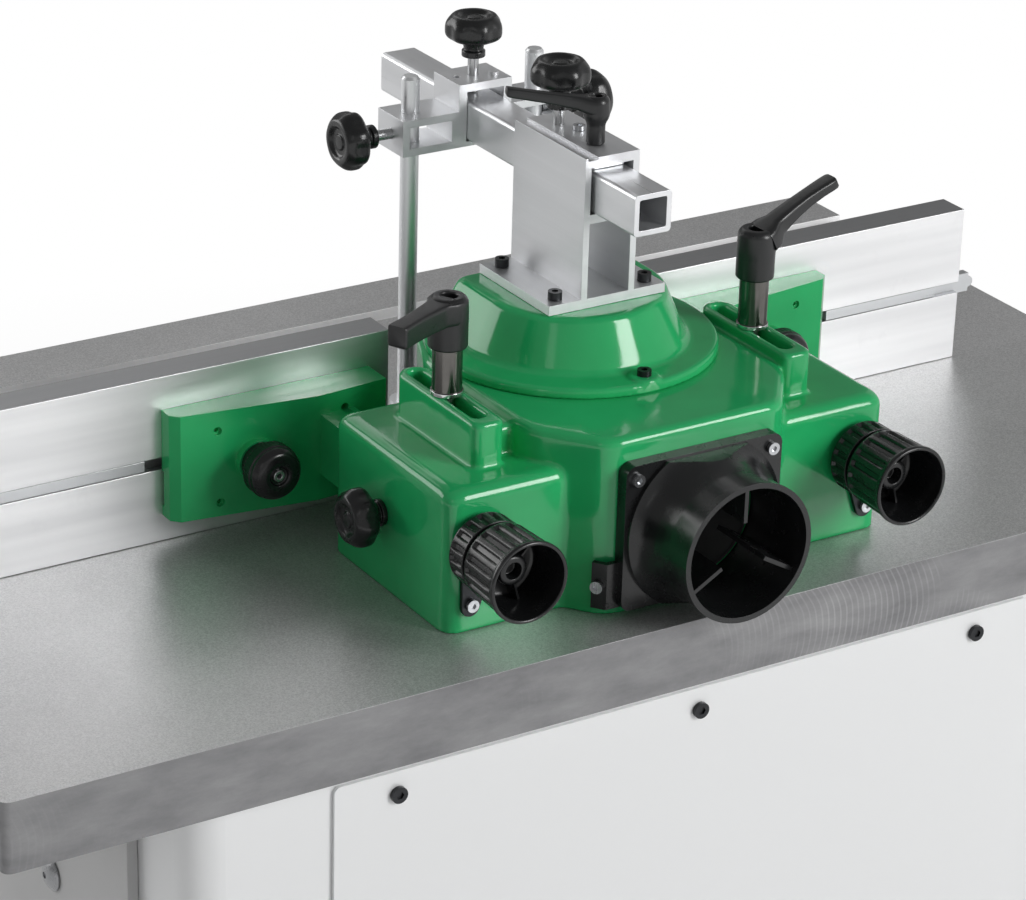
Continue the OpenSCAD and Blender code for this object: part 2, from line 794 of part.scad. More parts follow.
module spacer_rings() {
    base = -quill_drop + 12;
    heights = [35, 30, 25, 20, 12, 8];
    starts = [0, 35, 65, 90, 110, 122];
    color("#aeb2b5") lifted() for (i = [0 : 5]) {
        difference() {
            cyl_z(0, 0, base + starts[i] + seat, base + starts[i] + heights[i], spacer_r);
            cyl_z(0, 0, base + starts[i] - 1, base + starts[i] + heights[i] + 1, arbor_r + run_fit);
        }
    }
}

module spindle_nut() {
    base = -quill_drop + 12 + 130 + seat;
    color("#8e9296") lifted() difference() {
        intersection() {
            translate([0, 0, base]) cylinder(h = 16, r = 24, $fn = 6);
            translate([0, 0, base - 1]) cylinder(h = 18, r1 = 25, r2 = 22);
        }
        cyl_z(0, 0, base - 1, base + 18, arbor_r + run_fit);
    }
}

// A grooved pulley between two heights.
module pulley(x) {
    difference() {
        cyl_z(x, 0, pulley_z0, pulley_z1, pulley_r + belt_t);
        difference() {
            cyl_z(x, 0, pulley_z0 + 4, pulley_z1 - 4, pulley_r + belt_t + 1);
            cyl_z(x, 0, pulley_z0 + 3, pulley_z1 - 3, pulley_r);
        }
    }
}

module spindle_pulley() {
    color("#6f7478") lifted() difference() {
        pulley(0);
        cyl_z(0, 0, pulley_z0 - 1, pulley_z1 + 1, journal_r + run_fit);
    }
}

module motor_pulley() {
    color("#6f7478") lifted() {
        pulley(motor_x);
        cyl_z(motor_x, 0, pulley_z0, carriage_z + 60, motor_shaft_r);
    }
}

module drive_belt() {
    z0 = pulley_z0 + 5;
    z1 = pulley_z1 - 5;
    in_r = pulley_r + slide_gap;
    out_r = pulley_r + belt_t - 0.4;
    color("#26272a") lifted() difference() {
        union() {
            cyl_z(0, 0, z0, z1, out_r);
            cyl_z(motor_x, 0, z0, z1, out_r);
            box(0, motor_x, -out_r, out_r, z0, z1);
        }
        cyl_z(0, 0, z0 - 1, z1 + 1, in_r);
        cyl_z(motor_x, 0, z0 - 1, z1 + 1, in_r);
        box(0, motor_x, -in_r, in_r, z0 - 1, z1 + 1);
    }
}

module motor() {
    z0 = carriage_z + seat;
    z1 = z0 + motor_len;
    color("#4d6a86") lifted() difference() {
        union() {
            cyl_z(motor_x, 0, z0, z0 + 14, motor_r + 4);
            cyl_z(motor_x, 0, z0 + 10, z1 - 30, motor_r - 8);
            cyl_z(motor_x, 0, z1 - 34, z1, motor_r);
            for (a = [0 : 15 : 345]) {
                translate([motor_x, 0, z0 + 12]) rotate([0, 0, a]) translate([motor_r - 10, -1.5, 0])
                    cube([10, 3, motor_len - 44]);
            }
            box(motor_x - 30, motor_x + 30, -motor_r - 22, -motor_r + 14, z0 + 70, z0 + 140);
        }
        cyl_z(motor_x, 0, z0 - 1, carriage_z + 70, motor_shaft_r + run_fit);
        cyl_z(motor_x, 0, z1 - 3, z1 + 1, motor_r - 12);
    }
}

module lift_screw() {
    z1 = underside - seat - 16;
    gear_z = -shaft_drop;
    color("#9da1a4") lifted() {
        cyl_z(-lift_x, 0, gear_z + 55, z1, lift_r);
        cyl_z(-lift_x, 0, gear_z + 20, gear_z + 56, 6);
        translate([-lift_x, 0, gear_z]) bevel_gear(14, 26);
    }
}

// A bevel gear whose cone has its tip at the origin; it lies between two distances from the tip.
module bevel_gear(z0, z1) {
    teeth = 16;
    difference() {
        translate([0, 0, z0]) cylinder(h = z1 - z0, r1 = z0 - slide_gap, r2 = z1 - slide_gap);
        for (i = [0 : teeth - 1]) {
            rotate([0, 0, i * 360 / teeth]) translate([1.4, 0, 0]) rotate([0, 45, 0]) cylinder(h = 60, r = 2);
        }
    }
}

module handwheel_shaft() {
    gear_z = -shaft_drop;
    color("#9da1a4") lifted() {
        cyl_y(-lift_x, gear_z, 20, cab_y1 + 36, shaft_r);
        translate([-lift_x, 0, gear_z]) rotate([-90, 0, 0]) rotate([0, 0, 11.25]) bevel_gear(14, 26);
    }
}

module handwheel() {
    y = cab_y1 + 34;
    z = -shaft_drop;
    color("#3a3c3f") lifted() difference() {
        union() {
            turned_y(-lift_x, z) translate([wheel_r, y]) circle(wheel_rim_r);
            cyl_y(-lift_x, z, y - 20, y + 14, 22);
            for (a = [90, 210, 330]) {
                translate([-lift_x, y, z]) rotate([0, a, 0]) rotate([0, 90, 0]) cylinder(h = wheel_r - 4, r = 7);
            }
            cyl_y(-lift_x + wheel_r, z, y - 6, y + 12, 11);
        }
        cyl_y(-lift_x, z, y - 21, y + 3, shaft_r + run_fit);
        cyl_y(-lift_x + wheel_r, z, y - 4, y + 13, 4 + run_fit);
    }
}

module handwheel_grip() {
    y = cab_y1 + 34 + 12 + slide_gap;
    x = -lift_x + wheel_r;
    z = -shaft_drop;
    color("#1c1d1f") lifted() {
        turned_y(x, z) polygon([[0, y], [9, y], [12, y + 24], [12.5, y + 46], [10, y + 56], [5, y + 60], [0, y + 60]]);
        cyl_y(x, z, y - 15, y + 1, 4);
    }
}

// Fence housing
module body_plan() {
    polygon([[-body_rear_x, body_y0], [body_rear_x, body_y0], [body_x, body_slant_y], [body_x, wing_y1],
        [90, 62], [-90, 62], [-body_x, wing_y1], [-body_x, body_slant_y]]);
}

// Distance of a clamping slot from the middle plane, on the right (1) and the left (-1).
function slot_at(s) = s > 0 ? slot_right : slot_left;

module wing(s) {
    x = slot_at(s);
    side(s) difference() {
        union() {
            box(87, wing_x, wing_y0, wing_y1, seat, wing_h);
            box(x - slot_boss_hw, x + slot_boss_hw, slot_boss_y0, slot_boss_y1 - slot_boss_hw, wing_h - 6, slot_boss_h);
            cyl_z(x, slot_boss_y1 - slot_boss_hw, wing_h - 6, slot_boss_h, slot_boss_hw);
            box(body_x - 5, x - 1, slot_boss_y0 + 13, slot_boss_y1 - slot_boss_hw, wing_h - 6, body_h - 4);
        }
        translate([wing_x - wing_round, wing_y0 + wing_round, -1]) linear_extrude(wing_h + 2)
            corner_cut(wing_round, 1, -1);
        translate([wing_x - wing_round, wing_y1 - wing_round, -1]) linear_extrude(wing_h + 2)
            corner_cut(wing_round, 1, 1);
        along_x(86, wing_x + 1) translate([wing_y0 + wing_round, wing_h - wing_round])
            corner_cut(wing_round, -1, 1);
        along_y(wing_y0 - 1, wing_y1 + 1) translate([wing_x - wing_round, wing_h - wing_round])
            corner_cut(wing_round, 1, 1);
        box(x - 11, min(x + 11, bar_x0 - 4), wing_y0 + 8, wing_y1 - 8, -1, 94);
        box(bar_x0 - slide_gap, bar_x1 + slide_gap, wing_y0 + 8, wing_y1 + 1, bar_z0 - slide_gap, bar_z1 + slide_gap);
        box(bar_x0, bar_x1, wing_y0 + 8, wing_y1 - 8, -1, 30);
        box(x - slot_w / 2, x + slot_w / 2, slot_y0 + slot_w / 2, slot_y1 - slot_w / 2, 90, slot_boss_h + 1);
        cyl_z(x, slot_y0 + slot_w / 2, 90, slot_boss_h + 1, slot_w / 2);
        cyl_z(x, slot_y1 - slot_w / 2, 90, slot_boss_h + 1, slot_w / 2);
        cyl_y(micro_x, micro_z, wing_y0 - 1, wing_y0 + 9, 8 + run_fit);
        cyl_x(lock_y, 56, bar_x1, wing_x + 1, stud_r + run_fit);
        flange_holes(wing_y0 - 1, wing_y0 + 7);
    }
}

module fence_housing() {
    color("#2b9a56") lifted() difference() {
        union() {
            difference() {
                translate([0, 0, seat]) linear_extrude(body_h - seat) body_plan();
                edge_cut([-body_rear_x, body_y0], [body_rear_x, body_y0], body_h, body_round);
                edge_cut([body_rear_x, body_y0], [body_x, body_slant_y], body_h, body_round);
                edge_cut([-body_x, body_slant_y], [-body_rear_x, body_y0], body_h, body_round);
                edge_cut([body_x, body_slant_y], [body_x, wing_y1], body_h, body_round);
                edge_cut([-body_x, wing_y1], [-body_x, body_slant_y], body_h, body_round);
            }
            wing(1);
            wing(-1);
        }
        cyl_z(0, 0, -1, chamber_top, chamber_r);
        box(-chamber_r, chamber_r, 0, 70, -1, chamber_top);
        cyl_z(0, 0, chamber_top - 1, body_h + 1, roof_hole_r);
        cyl_y(0, duct_z, body_y0 - 1, -60, duct_r - duct_wall - 2);
        for (a = cap_screw_angles()) {
            cyl_z(cap_screw_pcd_r * cos(a), cap_screw_pcd_r * sin(a), body_h - 14, body_h + 1, socket_thread_r + 0.1);
        }
        for (x = [-duct_screw_x, duct_screw_x]) {
            cyl_y(x, duct_z + duct_screw_dz, body_y0 - 1, body_y0 + 14, small_thread_r + 0.1);
        }
        tab_screw_place(-14) cylinder(h = 15, r = small_thread_r + 0.1);
    }
}

function cap_screw_angles() = [-90, 18, 162];

// Screw hole of a micro-adjustment flange plate.
module flange_holes(y0, y1) {
    cyl_y(micro_x + flange_dx, micro_z - flange_dz, y0, y1, small_thread_r + 0.1);
}

module micro_flanges() {
    color("#2a2b2d") lifted() for (s = [-1, 1]) {
        side(s) difference() {
            along_y(wing_y0 - 3.8, wing_y0 - seat) hull() {
                translate([micro_x, micro_z]) circle(14.5, $fn = 32);
                translate([micro_x + flange_dx, micro_z - flange_dz - 2]) circle(7, $fn = 32);
            }
            cyl_y(micro_x, micro_z, wing_y0 - 6, wing_y0, 8 + run_fit);
            flange_holes(wing_y0 - 6, wing_y0 + 1);
        }
    }
}

module cap() {
    z0 = body_h + seat;
    z1 = z0 + cap_flange_t - seat;
    top = cap_h;
    color("#2b9a56") lifted() difference() {
        union() {
            translate([0, 0, z0]) rotate_extrude() {
                square([cap_r, z1 - z0 - 3]);
                square([cap_r - 3, z1 - z0]);
                translate([cap_r - 3, z1 - z0 - 3]) circle(3);
            }
            translate([0, 0, z1 - 1]) cylinder(h = top - z1 + 1, r1 = dome_foot_r, r2 = dome_top_r);
            intersection() {
                along_y(0, 70) polygon([[-dome_foot_r, z1 - 1], [dome_foot_r, z1 - 1], [dome_top_r, top], [-dome_top_r, top]]);
                along_x(-100, 100) polygon([[0, z1 - 1], [60, z1 - 1], [50, top], [0, top]]);
            }
        }
        translate([0, 0, z0 - 1]) cylinder(h = top - z0 - 6, r = dome_top_r - 8);
        for (a = cap_screw_angles()) {
            cyl_z(cap_screw_pcd_r * cos(a), cap_screw_pcd_r * sin(a), z0 - 1, z1 + 1, socket_thread_r + 0.3);
        }
        for (x = [-37, 37], y = [-35, 35]) {
            cyl_z(x, y, top - 9, top + 1, socket_thread_r + 0.1);
        }
    }
}

module socket_screws() {
    color("#3d4043") lifted() {
        for (a = cap_screw_angles()) {
            translate([cap_screw_pcd_r * cos(a), cap_screw_pcd_r * sin(a), body_h + cap_flange_t + seat])
                screw(socket_head_r, 6, socket_thread_r, 16);
        }
        for (x = [-37, 37], y = [-35, 35]) {
            translate([x, y, bracket_foot_z + foot_t + seat]) screw(socket_head_r, 6, socket_thread_r, 14);
        }
    }
}

// The turned outline of the outlet: a bell that narrows from the flange to the tube, with a small bead at its end.
module outlet_bell(y0) {
    turned_y(0, duct_z) polygon([[0, y0 + 1], [0, duct_y], [duct_r + 1, duct_y], [duct_r + 1, duct_y + 2],
        [duct_r, duct_y + 3], [duct_r, y0 - 34], [duct_r + 0.8, y0 - 26], [duct_r + 2.4, y0 - 18],
        [duct_r + 5, y0 - 11], [duct_r + 8.6, y0 - 6], [duct_r + 12, y0 - 3.4], [duct_r + 12, y0 + 1]]);
}

// Stands an axis on the slanted side of the housing at the outlet's tab, at distance d from it.
module tab_screw_place(d) {
    p = [-body_rear_x, body_y0] + tab_len / 2 * slant_u + d * slant_n;
    translate([p[0], p[1], (tab_z0 + tab_z1) / 2]) rotate([0, 90, atan2(slant_n[1], slant_n[0])]) children();
}

function tab_corner(d) = [-body_rear_x + d * slant_n[0] / (1 - slant_n[1]), body_y0 - d];
function tab_end(d) = [-body_rear_x, body_y0] + tab_len * slant_u + d * slant_n;

// The outlet's folded tab, which follows the rear and the slanted side of the housing.
module outlet_tab() {
    x = -duct_flange_hw + 4;
    translate([0, 0, tab_z0]) linear_extrude(tab_z1 - tab_z0)
        polygon([[x, body_y0 - seat], tab_corner(seat), tab_end(seat), tab_end(seat + tab_t),
            tab_corner(seat + tab_t), [x, body_y0 - seat - tab_t]]);
}

module dust_outlet() {
    y1 = duct_face;
    y0 = y1 - duct_flange_t;
    in_r = duct_r - duct_wall;
    color("#232426") lifted() {
        difference() {
            union() {
                round_box2(-duct_flange_hw, duct_flange_hw, duct_z - duct_flange_hh, duct_z + duct_flange_hh, y0, y1, 8);
                intersection() {
                    outlet_bell(y0);
                    box(-duct_flange_hw + 1, duct_flange_hw - 1, duct_y - 1, y0 + 2,
                        duct_z - duct_flange_hh + 1, duct_z + duct_flange_hh - 1);
                }
                outlet_tab();
            }
            cyl_y(0, duct_z, duct_y - 1, y1 + 2, in_r);
            for (x = [-duct_screw_x, duct_screw_x]) {
                cyl_y(x, duct_z + duct_screw_dz, y0 - 1, y1 + 2, small_thread_r + 0.3);
            }
            tab_screw_place(-1) cylinder(h = tab_t + 3, r = small_thread_r + 0.3);
        }
        for (a = [-90, 30, 150]) {
            translate([0, 0, duct_z]) rotate([0, a, 0]) box(in_r - 27, in_r + 1, duct_y + 6, y1 - 4, -1.5, 1.5);
        }
    }
}

module housing_screws() {
    y0 = duct_face - duct_flange_t - seat;
    color("#c9cbcd") lifted() {
        for (x = [-duct_screw_x, duct_screw_x]) {
            translate([x, y0, duct_z + duct_screw_dz]) rotate([90, 0, 0]) screw(small_head_r, 3, small_thread_r, 20);
        }
        tab_screw_place(2 * seat + tab_t) screw(small_head_r, 3, small_thread_r, 14);
        for (s = [-1, 1]) {
            translate([s * (micro_x + flange_dx), wing_y0 - 4.1, micro_z - flange_dz]) rotate([90, 0, 0])
                screw(small_head_r, 3, small_thread_r, 10);
        }
        translate([7, 9, bracket_top + seat]) screw(small_head_r, 3, small_thread_r, 5);
    }
}

// Hold-down bracket and beam
module bracket_profile() {
    z0 = bracket_foot_z;
    difference() {
        union() {
            translate([-foot_hw, z0]) square([2 * foot_hw, foot_t]);
            translate([-upright_hw, z0]) square([2 * upright_hw, bracket_top - z0]);
        }
        translate([-upright_hw + upright_wall, z0 + foot_t]) square([2 * (upright_hw - upright_wall), web_z - z0 - foot_t]);
        translate([-upright_hw + upright_wall, web_top]) square([2 * (upright_hw - upright_wall), lid_under - web_top]);
        translate([-upright_hw + 2, bracket_top - 2]) square([8, 3]);
    }
}

module holddown_bracket() {
    color("#d4d6d8") lifted() difference() {
        along_y(bracket_y0, bracket_y1) bracket_profile();
        for (x = [-37, 37], y = [-35, 35]) {
            cyl_z(x, y, bracket_foot_z - 1, bracket_foot_z + foot_t + 1, socket_thread_r + 0.3);
        }
        for (y = [-21, 26]) {
            cyl_z(1, y, lid_under - 1, bracket_top + 1, knob_stud_r + run_fit);
        }
        cyl_z(7, 9, lid_under - 1, bracket_top + 1, small_thread_r + 0.1);
    }
}

module pressure_plate() {
    color("#8b8f93") lifted()
        round_box(-14, 14, bracket_y0 + 5, bracket_y1 - 5, beam_z1 + slide_gap, lid_under - slide_gap, 3);
}

module beam() {
    color("#c6c9cc") lifted() along_y(beam_y0, beam_y1) difference() {
        round_rect(-beam_hw, beam_hw, beam_z, beam_z1, 3);
        round_rect(-beam_hw + beam_wall, beam_hw - beam_wall, beam_z + beam_wall, beam_z1 - beam_wall, 1.5);
    }
}

// An adjustable lever: its hub stands on Z = 0, its arm points to +X and rises.
module lever(r, h, bore_r, bore_h, reach, rise, w) {
    difference() {
        union() {
            cylinder(h = h - 2, r = r);
            translate([0, 0, h - 2 - eps]) cylinder(h = 2, r1 = r, r2 = r - 2);
            translate([0, 0, h - w * 0.75]) rotate([0, -rise, 0]) {
                translate([0, -w / 2, -w / 2]) cube([reach - w / 2, w, w]);
                translate([reach - w * 0.55, 0, -w * 0.58]) cylinder(h = w * 1.16, r = w * 0.58);
            }
        }
        translate([0, 0, -1]) cylinder(h = bore_h + 1, r = bore_r);
        translate([0, 0, h - 3]) cylinder(h = 10, r = r * 0.4);
    }
}

module bracket_lever() {
    color("#1d1e20") lifted() {
        translate([1, -21, bracket_top + slide_gap]) rotate([0, 0, 160]) lever(12, 35, 3.5, 20, 64, 0, 11);
        cyl_z(1, -21, lid_under, bracket_top + 22, knob_stud_r);
    }
}

module bracket_star() {
    color("#1d1e20") lifted() {
        translate([1, 26, bracket_top + 27]) star(star_r, star_t);
        cyl_z(1, 26, lid_under, bracket_top + 29, knob_stud_r);
        cyl_z(1, 26, bracket_top + 12, bracket_top + 28, 8);
    }
}

module clamp_profile() {
    wall = 5.5;
    cell = beam_hw + slide_gap;
    difference() {
        union() {
            translate([-clamp_hw, clamp_z0]) square([2 * clamp_hw, clamp_wing_z1 - clamp_z0]);
            translate([-clamp_cell_hw, clamp_z0]) square([2 * clamp_cell_hw, clamp_z1 - clamp_z0]);
        }
        translate([-cell, beam_z - slide_gap]) square([2 * cell, clamp_z1 - 6 - beam_z + slide_gap]);
        for (s = [-1, 1]) {
            translate([s > 0 ? clamp_cell_hw + wall : -clamp_hw + wall, clamp_z0 + wall])
                square([clamp_hw - clamp_cell_hw - 2 * wall, clamp_wing_z1 - clamp_z0 - 2 * wall]);
        }
    }
}

module cross_clamp() {
    y0 = clamp_y - clamp_len / 2;
    y1 = clamp_y + clamp_len / 2;
    color("#d4d6d8") lifted() {
        difference() {
            along_y(y0, y1) clamp_profile();
            for (s = [-1, 1]) {
                cyl_z(s * rod_x, clamp_y, clamp_z0 - 1, clamp_wing_z1 + 1, rod_r + run_fit);
                side(s) cyl_x(clamp_y, 252, rod_x + 8, clamp_hw + 1, knob_stud_r + run_fit);
            }
            cyl_z(0, clamp_y, clamp_z1 - 7, clamp_z1 + 1, knob_stud_r + run_fit);
            cyl_z(-14, clamp_y, clamp_z1 - 7, clamp_z1 + 1, 2.5);
        }
        cyl_z(13, clamp_y - 7, clamp_z1 - 1, clamp_z1 + 2.5, 3.5);
    }
}

module clamp_star_top() {
    color("#1d1e20") lifted() {
        translate([0, clamp_y, clamp_z1 + 25]) star(star_r - 0.5, star_t);
        cyl_z(0, clamp_y, beam_z1 + slide_gap, clamp_z1 + 27, knob_stud_r);
        cyl_z(0, clamp_y, clamp_z1 + 14, clamp_z1 + 26, 8);
    }
}

module side_star(s) {
    side(s) translate([0, clamp_y, 252]) {
        translate([clamp_hw + 24, 0, 0]) rotate([0, 90, 0]) star(star_r, star_t);
        cyl_x(0, 0, rod_x + rod_r + slide_gap, clamp_hw + 25, knob_stud_r);
        cyl_x(0, 0, clamp_hw + 14, clamp_hw + 25, 8);
    }
}

module side_star_left() {
    color("#1d1e20") lifted() side_star(-1);
}

module side_star_right() {
    color("#1d1e20") lifted() side_star(1);
}

module rod(x, top) {
    cyl_z(x, clamp_y, 40, top - 2, rod_r);
    translate([x, clamp_y, top - 2 - eps]) cylinder(h = 2, r1 = rod_r, r2 = rod_r - 1.6);
    cyl_z(x, clamp_y, 30, 42, foot_r);
}

module rod_left() {
    color("#c9ccce") lifted() rod(-rod_x, rod_top_left);
}

module rod_right() {
    color("#c9ccce") lifted() rod(rod_x, rod_top_right);
}

// Clamping studs and levers on the housing's slots
module clamp_studs() {
    color("#8e9296") lifted() {
        cyl_z(-slot_left, stud_y, underside, washer_z + 3 + sleeve_left_h + 30, stud_r);
        cyl_z(slot_right, stud_y, underside, washer_z + 3 + sleeve_right_h + 30, stud_r);
    }
}

module sleeve(x, h) {
    difference() {
        union() {
            cyl_z(x, stud_y, washer_z, washer_z + 3, sleeve_r + 1);
            cyl_z(x, stud_y, washer_z + 2, washer_z + 3 + h, sleeve_r);
        }
        cyl_z(x, stud_y, washer_z - 1, washer_z + 4 + h, stud_r + run_fit);
    }
}

module clamp_sleeves() {
    color("#2a2b2d") lifted() {
        sleeve(-slot_left, sleeve_left_h);
        sleeve(slot_right, sleeve_right_h);
    }
}

module lever_left() {
    color("#1d1e20") lifted() translate([-slot_left, stud_y, washer_z + 3 + sleeve_left_h + slide_gap])
        rotate([0, 0, 207]) lever(hub_r, hub_h, stud_r + run_fit, 31, 64, 2, 15);
}

module lever_right() {
    color("#1d1e20") lifted() translate([slot_right, stud_y, washer_z + 3 + sleeve_right_h + slide_gap])
        rotate([0, 0, 2]) lever(hub_r, hub_h, stud_r + run_fit, 31, 70, 28, 14);
}

// Carriers and fences
function carrier_screws() = [[247, 86], [245, 31], [150, 87], [150, 30]];

module carrier() {
    far = fence_y0 - slide_gap;
    knob = fence_y0 - 29.5;
    difference() {
        union() {
            translate([0, 0, carrier_z0]) linear_extrude(carrier_z1 - carrier_z0)
                polygon([[carrier_x0, far], [carrier_x0, 61], [172, 56], [carrier_x1 - 6, 69], [carrier_x1, 75],
                    [carrier_x1, far]]);
            box(bar_x0, bar_x1, -104, 70, bar_z0, bar_z1);
            cyl_y(plate_knob_x, fence_slot_z, knob, far, 16);
        }
        cyl_y(micro_x, micro_z, -105, 30, 6 + run_fit);
        cyl_y(plate_knob_x, fence_slot_z, 40, 90, knob_stud_r + run_fit);
        for (p = carrier_screws()) {
            cyl_y(p[0], p[1], 50, 76, 3.2);
        }
        box(carrier_x1 - 8, carrier_x1 + 1, far - 3, far + 1, 28, 55);
    }
    for (p = carrier_screws()) {
        difference() {
            cyl_y(p[0], p[1], 68, 77, 3.3);
            translate([p[0], 67, p[1]]) rotate([-90, 0, 0]) cylinder(h = 4, r = 1.8, $fn = 6);
        }
    }
}

module carrier_left() {
    color("#2b9a56") lifted() side(-1) carrier();
}

module carrier_right() {
    color("#2b9a56") lifted() side(1) carrier();
}

module t_bolt() {
    wide = fence_slot_ww / 2 - 0.4;
    cyl_y(plate_knob_x, fence_slot_z, plate_knob_y + 6, fence_y0 + 6, knob_stud_r);
    box(plate_knob_x - 12, plate_knob_x + 12, fence_y0 + 5.3, fence_y0 + 12.6, fence_slot_z - wide, fence_slot_z + wide);
}

module t_bolt_left() {
    color("#8e9296") lifted() side(-1) t_bolt();
}

module t_bolt_right() {
    color("#8e9296") lifted() side(1) t_bolt();
}

module fence() {
    along_x(fence_x0, fence_x1) difference() {
        translate([fence_y0, slide_gap]) square([fence_t, fence_h - slide_gap]);
        translate([fence_y0 - 1, fence_slot_z - fence_slot_w / 2]) square([7, fence_slot_w]);
        translate([fence_y0 + 5, fence_slot_z - fence_slot_ww / 2]) square([8, fence_slot_ww]);
    }
}

module fence_left() {
    color("#d4d6d8") lifted() side(-1) fence();
}

module fence_right() {
    color("#d4d6d8") lifted() side(1) fence();
}

// A filler strip in the fence slot; its flush lip and its base may differ in length.
module strip(x0, x1, base_x1) {
    wide = fence_slot_ww / 2 - seat;
    box(x0, x1, fence_y0, fence_y0 + 6, fence_slot_z - fence_slot_w / 2 + 0.6, fence_slot_z + fence_slot_w / 2 - 0.2);
    box(x0, base_x1, fence_y0 + 5.3, fence_y0 + 12.7, fence_slot_z - wide, fence_slot_z + wide);
}

module fence_strip_left() {
    color("#cfd1d3") lifted() side(-1) strip(strip_x0, fence_x1, fence_x1);
}

module fence_strip_right() {
    color("#cfd1d3") lifted() {
        strip(strip_x0, strip_lip_x1, strip_base_x1);
        cyl_y(strip_base_x1, fence_slot_z, fence_y0 + 5.3, fence_y0 + 12.7, 4.5);
    }
}

// Knobs
module plate_knob() {
    y0 = plate_knob_y;
    y1 = fence_y0 - 29.5 - slide_gap;
    difference() {
        turned_y(plate_knob_x, fence_slot_z) polygon([[0, y1], [15, y1], [15, y0 + 19], [plate_knob_r - 2, y0 + 19],
            [plate_knob_r, y0 + 17], [plate_knob_r, y0 + 5], [plate_knob_r - 3, y0 + 1], [plate_knob_r - 6, y0], [0, y0]]);
        cyl_y(plate_knob_x, fence_slot_z, y0 + 5, y1 + 1, knob_stud_r + run_fit);
        cyl_y(plate_knob_x, fence_slot_z, y0 - 1, y0 + 1.5, 8);
        translate([plate_knob_x, y0 - 1, fence_slot_z]) rotate([-90, 0, 0]) cylinder(h = 4, r = 3.5, $fn = 6);
    }
}

module plate_knob_left() {
    color("#232426") lifted() side(-1) plate_knob();
}

module plate_knob_right() {
    color("#232426") lifted() side(1) plate_knob();
}

module micro_knob() {
    y0 = micro_y;
    y1 = wing_y0 - 4.2;
    difference() {
        union() {
            turned_y(micro_x, micro_z) polygon([[0, y0 + 6], [9, y0 + 6], [9, y0 + 30], [micro_rim_r - 9, y0 + 34],
                [micro_rim_r - 3, y0], [micro_rim_r, y0], [micro_rim_r - 0.8, y0 + 4], [micro_rim_r - 2, y0 + 40],
                [micro_rim_r - 7, y0 + 41], [micro_rim_r - 7, y0 + 43], [micro_rim_r - 3, y0 + 43], [micro_rim_r - 3, y1],
                [0, y1]]);
            for (i = [0 : micro_ribs - 1]) {
                translate([micro_x, y0 + 6, micro_z]) rotate([0, i * 360 / micro_ribs, 0]) rotate([0, 0, 2])
                    translate([micro_rim_r - 3, 0, -1.4]) cube([3, 31, 2.8]);
            }
            for (i = [0 : 2]) {
                translate([micro_x, 0, micro_z]) rotate([0, i * 120 + 45, 0]) box(4, micro_rim_r - 7, y0 + 12, y0 + 32, -2, 2);
            }
            cyl_y(micro_x, micro_z, wing_y0 - 10, wing_y0 + 8, 8);
            cyl_y(micro_x, micro_z, wing_y0 + 6, -24, 6);
        }
        cyl_y(micro_x, micro_z, y0, y0 + 14, 5);
    }
}

module micro_knob_left() {
    color("#232426") lifted() side(-1) micro_knob();
}

module micro_knob_right() {
    color("#232426") lifted() side(1) micro_knob();
}

module side_knob() {
    translate([0, lock_y, 56]) {
        translate([wing_x + 9, 0, 0]) rotate([0, 90, 0]) star(star_r - 0.5, star_t);
        cyl_x(0, 0, bar_x1 + 0.6, wing_x + 10, stud_r);
        cyl_x(0, 0, wing_x + slide_gap, wing_x + 10, 10);
    }
}

module side_knob_left() {
    color("#1d1e20") lifted() side(-1) side_knob();
}

module side_knob_right() {
    color("#1d1e20") lifted() side(1) side_knob();
}

table();
table_rings();
cabinet();
base_plinth();
rear_cover();
rear_cover_screws();
switch_box();
arbor_bracket();
clamp_studs();
clamp_sleeves();
side_door();
door_latch();
start_button();
stop_button();
quill();
bearings();
motor();
drive_belt();
spindle();
spacer_rings();
spindle_nut();
spindle_pulley();
motor_pulley();
lift_screw();
handwheel();
handwheel_shaft();
handwheel_grip();
fence_housing();
cap();
socket_screws();
dust_outlet();
housing_screws();
holddown_bracket();
pressure_plate();
micro_flanges();
carrier_left();
carrier_right();
t_bolt_left();
t_bolt_right();
fence_left();
fence_right();
fence_strip_left();
fence_strip_right();
plate_knob_left();
plate_knob_right();
micro_knob_left();
micro_knob_right();
side_knob_left();
side_knob_right();
beam();
bracket_lever();
bracket_star();
cross_clamp();
clamp_star_top();
side_star_left();
side_star_right();
rod_left();
rod_right();
lever_left();
lever_right();
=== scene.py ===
"""Looks of the spindle moulder: finishes, detailed pieces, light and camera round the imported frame.

Sizes are in millimetres and heights are measured from the table top, except where metres are named.
"""

import logging
import math
from collections.abc import Callable, Iterable, Sequence
from dataclasses import dataclass
from enum import Enum
from functools import reduce
from typing import Any

import bmesh
import bpy
import numpy as np
from mathutils import Matrix, Vector


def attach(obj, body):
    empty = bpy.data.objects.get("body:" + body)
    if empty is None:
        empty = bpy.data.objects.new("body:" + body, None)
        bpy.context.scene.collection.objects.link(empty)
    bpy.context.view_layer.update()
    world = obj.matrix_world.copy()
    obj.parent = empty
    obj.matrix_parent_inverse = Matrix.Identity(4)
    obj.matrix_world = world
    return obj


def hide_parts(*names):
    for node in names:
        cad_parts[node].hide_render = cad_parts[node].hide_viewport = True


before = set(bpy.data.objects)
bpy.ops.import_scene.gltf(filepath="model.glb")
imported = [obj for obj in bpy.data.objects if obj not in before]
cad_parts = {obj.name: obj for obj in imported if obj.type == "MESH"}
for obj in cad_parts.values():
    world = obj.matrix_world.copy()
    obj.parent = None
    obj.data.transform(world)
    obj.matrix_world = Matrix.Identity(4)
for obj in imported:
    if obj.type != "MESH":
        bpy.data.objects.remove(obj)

LOG = logging.getLogger("spindle_moulder")
MM = 0.001
TABLE_TOP = 860.0
